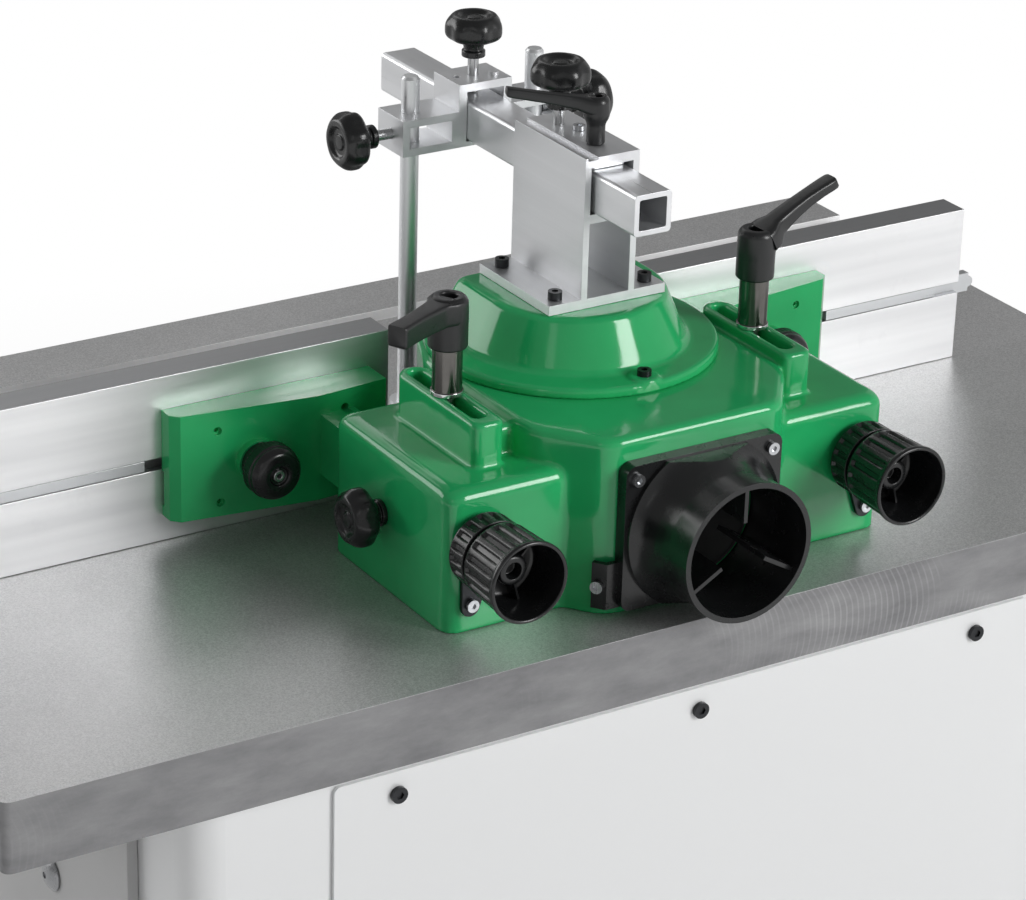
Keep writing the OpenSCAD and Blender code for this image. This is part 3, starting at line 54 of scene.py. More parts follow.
# Axes of the micro-adjustment and side lock screws: X and height, Y and height
MICRO_AXIS = (156.4, 63.2)
SIDE_AXIS = (-47.0, 56.0)
# The mitre slot's two walls along Y, in metres
MITRE = (0.367, 0.388)
# Softened edges: welding gap in metres, least angles in degrees, faces across an edge
WELD_GAP = 0.00001
FLAT_ANGLE = 0.4
EDGE_ANGLE = 30.0
EDGE_FACES = 2
Point = tuple[float, float]
Span = tuple[float, float]
Place = tuple[float, float, float]
Colour = tuple[float, float, float, float]
Spots = Sequence[np.ndarray]
WHITE: Colour = (1.0, 1.0, 1.0, 1.0)


def linear(code: str) -> Colour:
    """Turns a written screen colour into the linear colour that shaders use.

    Args:
        code: six hexadecimal digits.

    Returns:
        Red, green, blue and an alpha of one.
    """
    parts = [int(code[i : i + 2], 16) / 255 for i in (0, 2, 4)]
    made = [p / 12.92 if p <= 0.04045 else ((p + 0.055) / 1.055) ** 2.4 for p in parts]
    return (made[0], made[1], made[2], 1.0)


class Axis(Enum):
    """A direction of the shared frame."""

    X = (1.0, 0.0, 0.0)
    Y = (0.0, 1.0, 0.0)
    Z = (0.0, 0.0, 1.0)


# Shader graphs
def joined(operation: str, reflected: bool = False) -> Callable[["Wire", "Wire | float"], "Wire"]:
    """Makes an operator of Wire that adds one Math node.

    Args:
        operation: the node's operation.
        reflected: whether the wire is the second of its inputs.

    Returns:
        The operator's method.
    """

    def method(wire: "Wire", other: "Wire | float") -> "Wire":
        """The node's result for the wire and the other value."""
        return wire.math(operation, *((other, wire) if reflected else (wire, other)))

    return method


class Wire:
    """One socket of a shader graph. Arithmetic on it adds Math nodes."""

    __add__ = joined("ADD")
    __radd__ = joined("ADD", reflected=True)
    __sub__ = joined("SUBTRACT")
    __rsub__ = joined("SUBTRACT", reflected=True)
    __mul__ = joined("MULTIPLY")
    __rmul__ = joined("MULTIPLY", reflected=True)
    __truediv__ = joined("DIVIDE")
    __rtruediv__ = joined("DIVIDE", reflected=True)
    __pow__ = joined("POWER")
    __gt__ = joined("GREATER_THAN")
    __lt__ = joined("LESS_THAN")

    def __init__(self, graph: "Graph", socket: bpy.types.NodeSocket) -> None:
        """Keeps the graph and the socket."""
        self.graph = graph
        self.socket = socket

    def math(self, operation: str, *values: "Wire | float") -> "Wire":
        """Adds one Math node.

        Args:
            operation: the node's operation.
            values: its inputs in order.

        Returns:
            The node's result.
        """
        return self.graph.node("ShaderNodeMath", {"operation": operation}, dict(enumerate(values)))

    def __abs__(self) -> "Wire":
        """Size without sign."""
        return self.math("ABSOLUTE", self)

    def root(self) -> "Wire":
        """Square root."""
        return self.math("SQRT", self)

    def sine(self) -> "Wire":
        """Sine of an angle in radians."""
        return self.math("SINE", self)

    def within(self) -> "Wire":
        """The value held between nought and one."""
        return self.math("MINIMUM", self.math("MAXIMUM", self, 0.0), 1.0)


class Graph:
    """A node tree that is built by calls."""

    def __init__(self, tree: bpy.types.NodeTree) -> None:
        """Takes a tree and clears it."""
        self.tree = tree
        self.tree.nodes.clear()

    def node(
        self,
        kind: str,
        settings: dict[str, Any] | None = None,
        values: dict[int | str, Any] | None = None,
        out: int | str = 0,
    ) -> Wire:
        """Adds any node.

        Args:
            kind: the node's type name.
            settings: its attributes.
            values: numbers or wires for its inputs.
            out: which output to hand back.

        Returns:
            The wire of that output, or of the first input where the node has no output.
        """
        made = self.tree.nodes.new(kind)
        for key, value in (settings or {}).items():
            setattr(made, key, value)
        for key, value in (values or {}).items():
            if isinstance(value, Wire):
                self.tree.links.new(value.socket, made.inputs[key])
            else:
                made.inputs[key].default_value = value
        return Wire(self, made.outputs[out] if len(made.outputs) else made.inputs[0])

    def place(self, stretch: Place = (1.0, 1.0, 1.0)) -> Wire:
        """The point on the surface in metres, with its axes stretched.

        Args:
            stretch: what each axis is multiplied by.

        Returns:
            A vector wire.
        """
        where = self.node("ShaderNodeTexCoord", out="Object")
        return self.node("ShaderNodeMapping", {"vector_type": "POINT"}, {"Vector": where, "Scale": stretch})

    def parts(self) -> tuple[Wire, Wire, Wire]:
        """Reads the point on the surface.

        Returns:
            Wires of its three coordinates, in metres.
        """
        where = self.node("ShaderNodeTexCoord", out="Object")
        split = self.node("ShaderNodeSeparateXYZ", None, {0: where})
        x, y, z = (Wire(self, split.socket.node.outputs[i]) for i in range(3))
        return x, y, z

    def noise(self, scale: float, detail: float = 3.0, rough: float = 0.5, place: Wire | None = None) -> Wire:
        """Soft noise from nought to one.

        Args:
            scale: waves to a metre, about.
            detail: how many finer layers are added.
            rough: how strong those layers are.
            place: where it is read, or the plain place.

        Returns:
            A value wire.
        """
        values = {"Vector": place or self.place(), "Scale": scale, "Detail": detail, "Roughness": rough}
        return self.node("ShaderNodeTexNoise", {"noise_dimensions": "3D"}, values)

    def blend(self, share: "Wire | float", first: "Wire | Colour", second: "Wire | Colour") -> Wire:
        """Mixes two colours.

        Args:
            share: how much of the second.
            first: the colour at nought.
            second: the colour at one.

        Returns:
            A colour wire.
        """
        return self.node("ShaderNodeMix", {"data_type": "RGBA"}, {0: share, 6: first, 7: second}, 2)

    def level(self, value: Wire, low: float, high: float, start: float = 0.0, end: float = 1.0) -> Wire:
        """Maps a value from one span to another and holds it there.

        Args:
            value: what is mapped.
            low: result at start.
            high: result at end.
            start: value that gives low.
            end: value that gives high.

        Returns:
            A value wire.
        """
        return self.node(
            "ShaderNodeMapRange", {"clamp": True}, {0: value, 1: start, 2: end, 3: low, 4: high}
        )

    def patches(
        self, scale: float, detail: float, rough: float, start: float, end: float, place: Wire | None = None
    ) -> Wire:
        """Noise that shows only where it is strong.

        Args:
            scale: waves to a metre, about.
            detail: how many finer layers are added.
            rough: how strong those layers are.
            start: noise that gives nought.
            end: noise that gives one.
            place: where it is read, or the plain place.

        Returns:
            A value wire from nought to one.
        """
        return self.level(self.noise(scale, detail, rough, place), 0.0, 1.0, start, end)

    def bump(self, height: Wire, metres: float, strength: float = 1.0) -> Wire:
        """Turns a height into a normal.

        Args:
            height: from nought to one.
            metres: what one stands for.
            strength: share of it that shows.

        Returns:
            A normal wire.
        """
        return self.node("ShaderNodeBump", None, {"Height": height, "Distance": metres, "Strength": strength})


def new_material(name: str) -> tuple[bpy.types.Material, Graph]:
    """Makes a material.

    Args:
        name: its name.

    Returns:
        The material and its empty graph.
    """
    made = bpy.data.materials.new(name)
    made.use_nodes = True
    return made, Graph(made.node_tree)


def off_axis(a: Wire, b: Wire) -> Wire:
    """How far a point with these two coordinates lies from their axis."""
    return (a * a + b * b) ** 0.5


def toned(colour: Colour, share: float, lift: float = 0.0) -> Colour:
    """Makes a colour darker or lighter.

    Args:
        colour: the linear colour.
        share: what its parts are multiplied by.
        lift: what is then added to them.

    Returns:
        The colour, with no part over one.
    """
    red, green, blue = (min(1.0, part * share + lift) for part in colour[:3])
    return (red, green, blue, 1.0)


@dataclass(frozen=True)
class Finish:
    """A surface finish. Each kind says how its material is made."""

    name: str

    def material(self) -> bpy.types.Material:
        """Finds the finish's material, or makes it at its first use.

        Returns:
            The material.
        """
        found = bpy.data.materials.get(self.name)
        if found:
            return found
        made, graph = new_material(self.name)
        shader = graph.node("ShaderNodeBsdfPrincipled", None, self.surface(graph))
        graph.node("ShaderNodeOutputMaterial", None, {"Surface": shader})
        return made

    def surface(self, graph: Graph) -> dict[str, Any]:
        """Says what goes into the surface shader's sockets.

        Args:
            graph: the material's graph, which takes the nodes.

        Returns:
            A wire or a constant for each socket that is set.
        """
        raise NotImplementedError


@dataclass(frozen=True)
class Enamel(Finish):
    """Thick gloss paint over a casting, with orange peel, and painted shade, a dark grey, in the chamber and
    the bore.

    The chamber has its radius, its ceiling and how far it goes towards the operator, and the bore its
    radius, its height and where it starts. These are in metres.
    """

    colour: Colour = linear("2ab86d")
    gloss: float = 0.1
    chamber: Place = (0.0896, (TABLE_TOP + 121.6) * MM, 0.0612)
    bore: Place = (0.0465, 0.9194, -0.05)

    def inner_shade_mask(self, graph: Graph) -> Wire:
        """Finds what lies inside the cutter chamber and the bore of the outlet, which get painted shade.

        Args:
            graph: the material's graph.

        Returns:
            A wire with one inside them, else nought.
        """
        x, y, z = graph.parts()
        wide, ceiling, reach = self.chamber
        narrow, middle, start = self.bore
        below = ceiling > z
        room = (wide > off_axis(x, y)) * below
        front = (wide > abs(x)) * (y > 0.0) * (reach > y) * below
        duct = (narrow > off_axis(x, z - middle)) * (start > y)
        return (room + front + duct).within()

    def surface(self, graph: Graph) -> dict[str, Any]:
        """Paints faint clouds, dust grains, peel and waves, and painted shade in the chamber and the bore.

        Args:
            graph: the material's graph.

        Returns:
            The values of the shader's sockets.
        """
        clouds = graph.patches(7.0, 4.0, 0.6, 0.3, 0.7)
        base = graph.blend(clouds, toned(self.colour, 0.82), toned(self.colour, 1.16, 0.004))
        grains = graph.patches(1500.0, 2.0, 0.4, 0.71, 0.78)
        base = graph.blend(grains * 0.18, base, linear("9fb8a6"))
        inside = self.inner_shade_mask(graph)
        # Painted shade: the chamber and the bore are painted dark grey.
        base = graph.blend(inside, base, linear("2c2d2e"))
        peel = graph.noise(420.0, 2.0, 0.4)
        waves = graph.noise(30.0, 2.0, 0.4)
        smears = graph.noise(16.0, 5.0, 0.6)
        return {
            "Base Color": base,
            "Roughness": graph.level(smears, self.gloss - 0.03, self.gloss + 0.06, 0.3, 0.7) + inside * 0.5,
            "Normal": graph.bump(waves + peel * 0.05, 0.0007, 0.5),
            "IOR": 1.5,
        }


@dataclass(frozen=True)
class GroundIron(Finish):
    """Grey cast iron, ground on its faces and cut in arcs by a wide mill along its edges."""

    face: Colour = linear("dadada")
    dark: Colour = linear("b0b0b1")
    arc_radius: float = 0.058
    feed: float = 0.0051
    arc_middle: float = (TABLE_TOP - 34.0) * MM

    def arcs(self, graph: Graph) -> Wire:
        """Draws the thin arcs that a wide mill left along the edge, here and there.

        Args:
            graph: the material's graph.

        Returns:
            A value wire, with one on an arc.
        """
        x, y, z = graph.parts()
        height = z - self.arc_middle
        reach = (self.arc_radius**2 - height * height).root()
        phase = (x + y - reach) / self.feed + graph.noise(9.0, 3.0) * 2.6
        wave = (phase * math.tau).sine() * 0.5 + 0.5
        patches = graph.patches(8.0, 3.0, 0.6, 0.5, 0.68)
        return graph.level(wave, 0.0, 1.0, 0.72, 1.0) * patches * graph.level(x, 0.15, 1.0, -0.1, 0.2)

    def surface(self, graph: Graph) -> dict[str, Any]:
        """Gives the faces fine even grain, the upright edges cloudy cuts and thin arcs, and the mitre slot's
        walls a painted highlight.

        Args:
            graph: the material's graph.

        Returns:
            The values of the shader's sockets.
        """
        normal = graph.node("ShaderNodeNewGeometry", out="Normal")
        up = graph.node("ShaderNodeSeparateXYZ", None, {0: normal}, 2)
        edge = 1.0 - graph.level(abs(up), 0.0, 1.0, 0.45, 0.75)
        arcs = self.arcs(graph)
        grain = graph.noise(760.0, 4.0, 0.85)
        clouds = graph.noise(6.0, 5.0, 0.6)
        tone = grain * 0.82 + clouds * 0.18
        base = graph.blend(graph.level(tone, 0.0, 1.0, 0.4, 0.6), self.dark, self.face)
        pores = graph.patches(2300.0, 2.0, 0.5, 0.66, 0.76)
        base = graph.blend(pores * 0.35, base, linear("5c5c5e"))
        cuts = graph.patches(1.0, 5.0, 0.62, 0.3, 0.72, graph.place((16.0, 16.0, 46.0)))
        side = graph.blend(cuts, linear("7a7a7c"), linear("989899"))
        side = graph.blend(arcs * 0.3, side, linear("d2d2d3"))
        # Painted highlight: the walls of the mitre slot are painted near white.
        along = graph.parts()[1]
        side = graph.blend((along > MITRE[0]) * (along < MITRE[1]), side, linear("fafafa"))
        return {
            "Base Color": graph.blend(edge, base, side),
            "Metallic": 0.5,
            "Roughness": graph.level(grain, 0.34, 0.48, 0.35, 0.65) + edge * 0.08,
            "Normal": graph.bump(grain * 0.5 + edge * arcs * 0.5, 0.00008, 0.8),
            "IOR": 1.5,
        }


@dataclass(frozen=True)
class PowderCoat(Finish):
    """Baked powder paint with a fine, even texture."""

    colour: Colour = linear("cbcbcb")
    rough: float = 0.45
    texture: float = 0.00007

    def surface(self, graph: Graph) -> dict[str, Any]:
        """Gives a plain colour faint patches, and a pimpled surface.

        Args:
            graph: the material's graph.

        Returns:
            The values of the shader's sockets.
        """
        patches = graph.noise(6.0, 4.0, 0.6)
        shade = graph.level(patches, 0.0, 1.0, 0.35, 0.7)
        base = graph.blend(shade, self.colour, toned(self.colour, 0.955))
        marks = graph.patches(1.0, 4.0, 0.7, 0.66, 0.8, graph.place((9.0, 9.0, 70.0)))
        base = graph.blend(marks * 0.12, base, linear("9a9a98"))
        pimples = graph.noise(900.0, 2.0, 0.5)
        return {
            "Base Color": base,
            "Roughness": graph.level(patches, self.rough, self.rough + 0.12, 0.3, 0.7),
            "Normal": graph.bump(pimples, self.texture, 0.7),
        }


@dataclass(frozen=True)
class Extrusion(Finish):
    """Pressed aluminium with die lines along its length and sawn ends, and, where asked, painted shade on its
    top faces.
    """

    axis: Axis = Axis.X
    colour: Colour = linear("f6f6f7")
    rough: float = 0.36
    top_shade: float = 0.0

    def along(self, graph: Graph, across: float) -> Wire:
        """The place on the surface, stretched for lines along the axis that are as fine as across says."""
        return graph.place(tuple(3.0 if part else across for part in self.axis.value))

    def surface(self, graph: Graph) -> dict[str, Any]:
        """Draws die lines along the axis, short saw strokes on the end faces, and painted shade on top faces
        where asked.

        Args:
            graph: the material's graph.

        Returns:
            The values of the shader's sockets.
        """
        lines = graph.noise(1.0, 4.0, 0.65, self.along(graph, 700.0))
        broad = graph.noise(1.0, 2.0, 0.5, self.along(graph, 60.0))
        normal = graph.node("ShaderNodeTexCoord", out="Normal")
        aligned = {0: normal, 1: self.axis.value}
        end = abs(graph.node("ShaderNodeVectorMath", {"operation": "DOT_PRODUCT"}, aligned, 1)) > 0.7
        saw = graph.noise(1.0, 2.0, 0.6, graph.place((25.0, 25.0, 1500.0)))
        mark = lines * (1.0 - end) + saw * end
        base = graph.blend(graph.level(broad, 0.0, 0.4, 0.3, 0.7), self.colour, linear("c6c7c9"))
        base = graph.blend(graph.patches(30.0, 4.0, 0.7, 0.6, 0.8) * 0.08, base, linear("8e8f92"))
        # Painted shade: faces that look up are blended towards a dark grey.
        if self.top_shade:
            up = graph.node("ShaderNodeSeparateXYZ", None, {0: normal}, 2)
            base = graph.blend((up > 0.7) * self.top_shade, base, linear("8f9092"))
        return {
            "Base Color": base,
            "Metallic": 0.8,
            "Roughness": graph.level(mark, self.rough - 0.05, self.rough + 0.08, 0.3, 0.7) + end * 0.1,
            "Normal": graph.bump(mark, 0.00003, 0.45),
        }


@dataclass(frozen=True)
class Moulding(Finish):
    """Moulded plastic, from glossy to slightly grained."""

    colour: Colour = linear("191a1b")
    rough: float = 0.24
    grain: float = 0.00003

    def surface(self, graph: Graph) -> dict[str, Any]:
        """Gives a deep colour fingerprints, fine grain and thin dust.

        Args:
            graph: the material's graph.

        Returns:
            The values of the shader's sockets.
        """
        prints = graph.noise(55.0, 4.0, 0.6)
        dust = graph.patches(1900.0, 2.0, 0.5, 0.7, 0.8)
        return {
            "Base Color": graph.blend(dust * 0.3, self.colour, linear("6b6a68")),
            "Roughness": graph.level(prints, self.rough - 0.04, self.rough + 0.07, 0.3, 0.7),
            "Normal": graph.bump(graph.noise(700.0, 3.0, 0.6), self.grain, 0.8),
            "IOR": 1.5,
        }


@dataclass(frozen=True)
class Steel(Finish):
    """Turned, drawn or blackened steel. Below the foot, a height in metres, it is a bright washer."""

    colour: Colour = linear("b9babb")
    rough: float = 0.26
    axis: Axis = Axis.Z
    ringed: bool = False
    foot: float = 0.0

    def surface(self, graph: Graph) -> dict[str, Any]:
        """Draws fine lines along or round the axis, and faint tarnish.

        Args:
            graph: the material's graph.

        Returns:
            The values of the shader's sockets.
        """
        along, across = (1400.0, 6.0) if self.ringed else (6.0, 1400.0)
        stretch = tuple(along if part else across for part in self.axis.value)
        lines = graph.noise(1.0, 3.0, 0.6, graph.place(stretch))
        tarnish = graph.level(graph.noise(90.0, 4.0, 0.65), 0.0, 0.7, 0.4, 0.75)
        base = graph.blend(tarnish, self.colour, toned(self.colour, 0.72))
        if self.foot:
            base = graph.blend(graph.parts()[2] < self.foot, base, linear("d8d9da"))
        return {
            "Base Color": base,
            "Metallic": 0.95,
            "Roughness": graph.level(lines, self.rough - 0.08, self.rough + 0.12, 0.3, 0.7),
            "Normal": graph.bump(lines, 0.00002, 0.6),
        }


GREEN = Enamel("green_enamel")
IRON = GroundIron("ground_iron")
SHEET = PowderCoat("cabinet_paint")
# Painted shade: a darker copy of the cabinet paint, for the door on the less lit side.
SHADED_DOOR_PAINT = PowderCoat("door_paint_shaded", linear("c4c4c4"), 0.4)
PLINTH_PAINT = PowderCoat("plinth_paint", linear("46484a"), 0.5)
GREY_BOX = PowderCoat("switch_box_paint", linear("5c5f61"), 0.42)
# The fences get painted shade on their tops.
ALU_X = Extrusion("aluminium_lengthwise", Axis.X, top_shade=0.85)
ALU_Y = Extrusion("aluminium_bracket", Axis.Y, linear("e0e1e3"), 0.4)
ALU_BEAM = Extrusion("aluminium_beam", Axis.Y, linear("e6e7e9"), 0.32)
ALU_STRIP = Extrusion("aluminium_strip", Axis.X, linear("cdcfd1"), 0.32)
BLACK = Moulding("black_knob_plastic", linear("18191a"), 0.25)
LEVER_COAT = Moulding("lever_coating", linear("202122"), 0.31, 0.00005)
OUTLET = Moulding("outlet_plastic", linear("1c1d1e"), 0.24, 0.00004)
RUBBER = Moulding("belt_rubber", linear("1b1b1a"), 0.62, 0.0002)
RED = Moulding("stop_red", linear("b3201c"), 0.28)
START = Moulding("start_green", linear("1f7a3c"), 0.28)
BRIGHT = Steel("bright_steel")
ROD = Steel("rod_steel", linear("b4b5b6"), 0.22)
DARK_SLEEVE = Steel("dark_sleeve_steel", linear("6a6865"), 0.16, foot=(TABLE_TOP + 140.15) * MM)
BLACKENED = Steel("blackened_steel", linear("3c3d3f"), 0.34, Axis.Z, True)
ZINC = Steel("zinc_screw", linear("c4c6c9"), 0.24, Axis.Y, True)
CAST_PART = PowderCoat("motor_paint", linear("5b6064"), 0.4, 0.0002)
RING_STEEL = Steel("ring_steel", linear("9c9d9f"), 0.3)


# Mesh building
def facing(spot: Sequence[float], ahead: Vector | None) -> Matrix:
    """A place at a spot, whose own Z points ahead, or up where nothing is given."""
    spin = Matrix.Identity(4) if ahead is None else ahead.to_track_quat("Z", "Y").to_matrix().to_4x4()
    return Matrix.Translation(spot) @ spin


def standing(x: float, y: float, z: float, axis: Vector | None = None, turn: float = 0.0) -> Matrix:
    """A place whose own Z points along an axis.

    Args:
        x: millimetres along the table.
        y: millimetres towards the operator.
        z: millimetres over the table top.
        axis: where its own Z points, or straight up.
        turn: degrees about that axis.

    Returns:
        The place as a matrix in millimetres.
    """
    return facing((x, y, z), axis) @ Matrix.Rotation(math.radians(turn), 4, "Z")


def added(name: str, data: bpy.types.ID, place: Matrix | None = None) -> bpy.types.Object:
    """Puts a new object into the scene.

    Args:
        name: its name.
        data: its mesh, lamp or camera.
        place: where it goes, or the frame's origin.

    Returns:
        The object.
    """
    made = bpy.data.objects.new(name, data)
    bpy.context.scene.collection.objects.link(made)
    if place is not None:
        made.matrix_world = place
    return made


def sheet(name: str, width: float, height: float) -> bpy.types.Mesh:
    """Makes a flat oblong about the origin that faces up.

    Args:
        name: its name.
        width: metres along X.
        height: metres along Y.

    Returns:
        The mesh.
    """
    w, h = width / 2, height / 2
    made = bpy.data.meshes.new(name)
    made.from_pydata([(-w, -h, 0), (w, -h, 0), (w, h, 0), (-w, h, 0)], [], [(0, 1, 2, 3)])
    return made


def rounded(corners: Sequence[Place], steps: int = 4) -> list[Point]:
    """Rounds the corners of an open line.

    Args:
        corners: two coordinates and the radius wanted at each corner.
        steps: pieces that each rounding has.

    Returns:
        The points of the rounded line.
    """
    line: list[Point] = []
    for i, (a, b, radius) in enumerate(corners):
        if radius <= 0 or i in (0, len(corners) - 1):
            line.append((a, b))
            continue
        here = Vector((a, b))
        back = Vector(corners[i - 1][:2]) - here
        ahead = Vector(corners[i + 1][:2]) - here
        cut = min(radius, back.length * 0.48, ahead.length * 0.48)
        first, last = here + back.normalized() * cut, here + ahead.normalized() * cut
        for k in range(steps + 1):
            t = k / steps
            spot = first * (1 - t) ** 2 + here * (2 * t * (1 - t)) + last * t**2
            line.append((spot.x, spot.y))
    return line


class Shape:
    """A mesh that is being built, in millimetres over the table top."""

    def __init__(self) -> None:
        """Starts empty."""
        self.bm = bmesh.new()

    def loft(self, rings: Sequence[Sequence[Vector]]) -> "Shape":
        """Skins closed rings of equal length and closes both ends.

        Args:
            rings: the rings in order.

        Returns:
            This shape.
        """
        rows = [[self.bm.verts.new(p) for p in ring] for ring in rings]
        count = len(rows[0])
        for low, high in zip(rows, rows[1:]):
            for i in range(count):
                j = (i + 1) % count
                self.bm.faces.new((low[i], low[j], high[j], high[i]))
        self.bm.faces.new(list(reversed(rows[0])))
        self.bm.faces.new(rows[-1])
        return self

    def turned(
        self,
        place: Matrix,
        line: Sequence[Point],
        steps: int = 64,
        flute: Callable[[float, float, float], float] | None = None,
    ) -> "Shape":
        """Turns a line of radius and height about a place's own Z. Its last point joins its first.

        Args:
            place: where the axis stands.
            line: radius and height of each point.
            steps: pieces round.
            flute: gives a radius from the angle, the plain radius and the height.

        Returns:
            This shape.
        """
        rows: list[list[bmesh.types.BMVert]] = []
        for radius, height in line:
            if radius < 1e-6:
                rows.append([self.bm.verts.new(place @ Vector((0, 0, height)))])
                continue
            ring = []
            for i in range(steps):
                angle = math.tau * i / steps
                r = flute(angle, radius, height) if flute else radius
                spot = Vector((r * math.cos(angle), r * math.sin(angle), height))
                ring.append(self.bm.verts.new(place @ spot))
            rows.append(ring)
        for low, high in zip(rows, rows[1:] + rows[:1]):
            for i in range(steps):
                j = (i + 1) % steps
                if len(low) == 1 and len(high) > 1:
                    self.bm.faces.new((low[0], high[j], high[i]))
                elif len(high) == 1 and len(low) > 1:
                    self.bm.faces.new((low[i], low[j], high[0]))
                elif len(low) > 1:
                    self.bm.faces.new((low[i], low[j], high[j], high[i]))
        return self

    def make(
        self, name: str, finish: Finish, body: str, replaces: Iterable[str] = (), sharp: float = 32.0
    ) -> bpy.types.Object:
        """Turns the shape into a dressed piece that rides on a body.

        Args:
            name: the piece's name.
            finish: what covers it.
            body: the body that it moves with.
            replaces: CAD nodes that it stands for.
            sharp: degrees over which an edge shades sharp.

        Returns:
            The new object.
        """
        bmesh.ops.recalc_face_normals(self.bm, faces=self.bm.faces)
        self.bm.transform(Matrix.Scale(MM, 4) @ Matrix.Translation((0, 0, TABLE_TOP)))
        mesh = bpy.data.meshes.new(name)
        self.bm.to_mesh(mesh)
        self.bm.free()
        piece = added(name, mesh)
        dress(piece, finish, sharp=sharp)
        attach(piece, body)
        if replaces:
            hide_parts(*replaces)
        return piece


def dress(piece: bpy.types.Object, finish: Finish, bevel: float = 0.0, sharp: float = 32.0) -> None:
    """Gives a piece its finish, smooth shading and softened edges.

    Args:
        piece: the object.
        finish: what covers it.
        bevel: width of its softened edges, in millimetres.
        sharp: degrees over which an edge shades sharp, where no edge is softened.
    """
    piece.data.materials.clear()
    piece.data.materials.append(finish.material())
    for face in piece.data.polygons:
        face.material_index = 0
    piece.data.shade_smooth()
    if bevel:
        soften(piece, bevel)
    else:
        piece.data.set_sharp_from_angle(angle=math.radians(sharp))


def soften(piece: bpy.types.Object, width: float) -> None:
    """Adds modifiers that weld a mesh and round its edges.

    Args:
        piece: the object.
        width: of the rounding, in millimetres.
    """
    weld = piece.modifiers.new("weld", "WELD")
    weld.merge_threshold = WELD_GAP
    flat = piece.modifiers.new("flats", "DECIMATE")
    flat.decimate_type = "DISSOLVE"
    flat.angle_limit = math.radians(FLAT_ANGLE)
    edge = piece.modifiers.new("edges", "BEVEL")
    edge.width = width * MM
    edge.segments = EDGE_FACES
    edge.limit_method = "ANGLE"
    edge.angle_limit = math.radians(EDGE_ANGLE)
    edge.use_clamp_overlap = True
    edge.miter_outer = "MITER_ARC"
    even = piece.modifiers.new("shading", "WEIGHTED_NORMAL")
    even.keep_sharp = False
    even.weight = 100


def squared(place: Matrix, half: Point, turn: float, count: int) -> list[Vector]:
    """A ring between an oval and an oblong, in a place's own XY plane.

    Args:
        place: where the ring lies.
        half: half its width and height.
        turn: 2 gives an oval, and more gives squarer corners.
        count: points in it.

    Returns:
        The points of the ring.
    """
    ring = []
    for i in range(count):
        angle = math.tau * (i + 0.5) / count
        c, s = math.cos(angle), math.sin(angle)
        a = math.copysign(abs(c) ** (2 / turn), c) * half[0]
        b = math.copysign(abs(s) ** (2 / turn), s) * half[1]
        ring.append(place @ Vector((a, b, 0)))
    return ring


# Castings, made from distance fields so that every edge and inner corner is rounded
def most(a: np.ndarray, b: np.ndarray | float, blend: float = 0.4) -> np.ndarray:
    """The larger of two fields, rounded where they cross: what two solids share.

    Args:
        a: distances to the first solid, negative inside it.
        b: distances to the second.
        blend: how far the rounding reaches, in millimetres.

    Returns:
        Distances to the shared solid.
    """
    near = np.maximum(blend - np.abs(a - b), 0.0)
    return np.maximum(a, b) + near * near / (4 * blend)


def least(a: np.ndarray, b: np.ndarray, blend: float = 0.4) -> np.ndarray:
    """The smaller of two fields, filleted where they cross: both solids together."""
    return -most(-a, -b, blend)


def without(a: np.ndarray, b: np.ndarray, blend: float = 0.4) -> np.ndarray:
    """The first solid less the second, with the cut's edge rounded."""
    return most(a, -b, blend)


def shared(*solids: np.ndarray) -> np.ndarray:
    """The largest of several fields, with sharp edges."""
    return reduce(np.maximum, solids)


def span(value: np.ndarray, low: float, high: float) -> np.ndarray:
    """Distances to the slab between two values of a coordinate."""
    return np.abs(value - (low + high) / 2) - (high - low) / 2


def stadium(x: np.ndarray, y: np.ndarray, middle: float, ends: Span, radius: float) -> np.ndarray:
    """Distances to a round-ended slot along Y, whose ends are its farthest points."""
    held = np.clip(y, ends[0] + radius, ends[1] - radius)
    return np.hypot(x - middle, y - held) - radius


def unit(a: float, b: float) -> np.ndarray:
    """The direction of a slanted face in a plane."""
    return np.array((a, b)) / math.hypot(a, b)


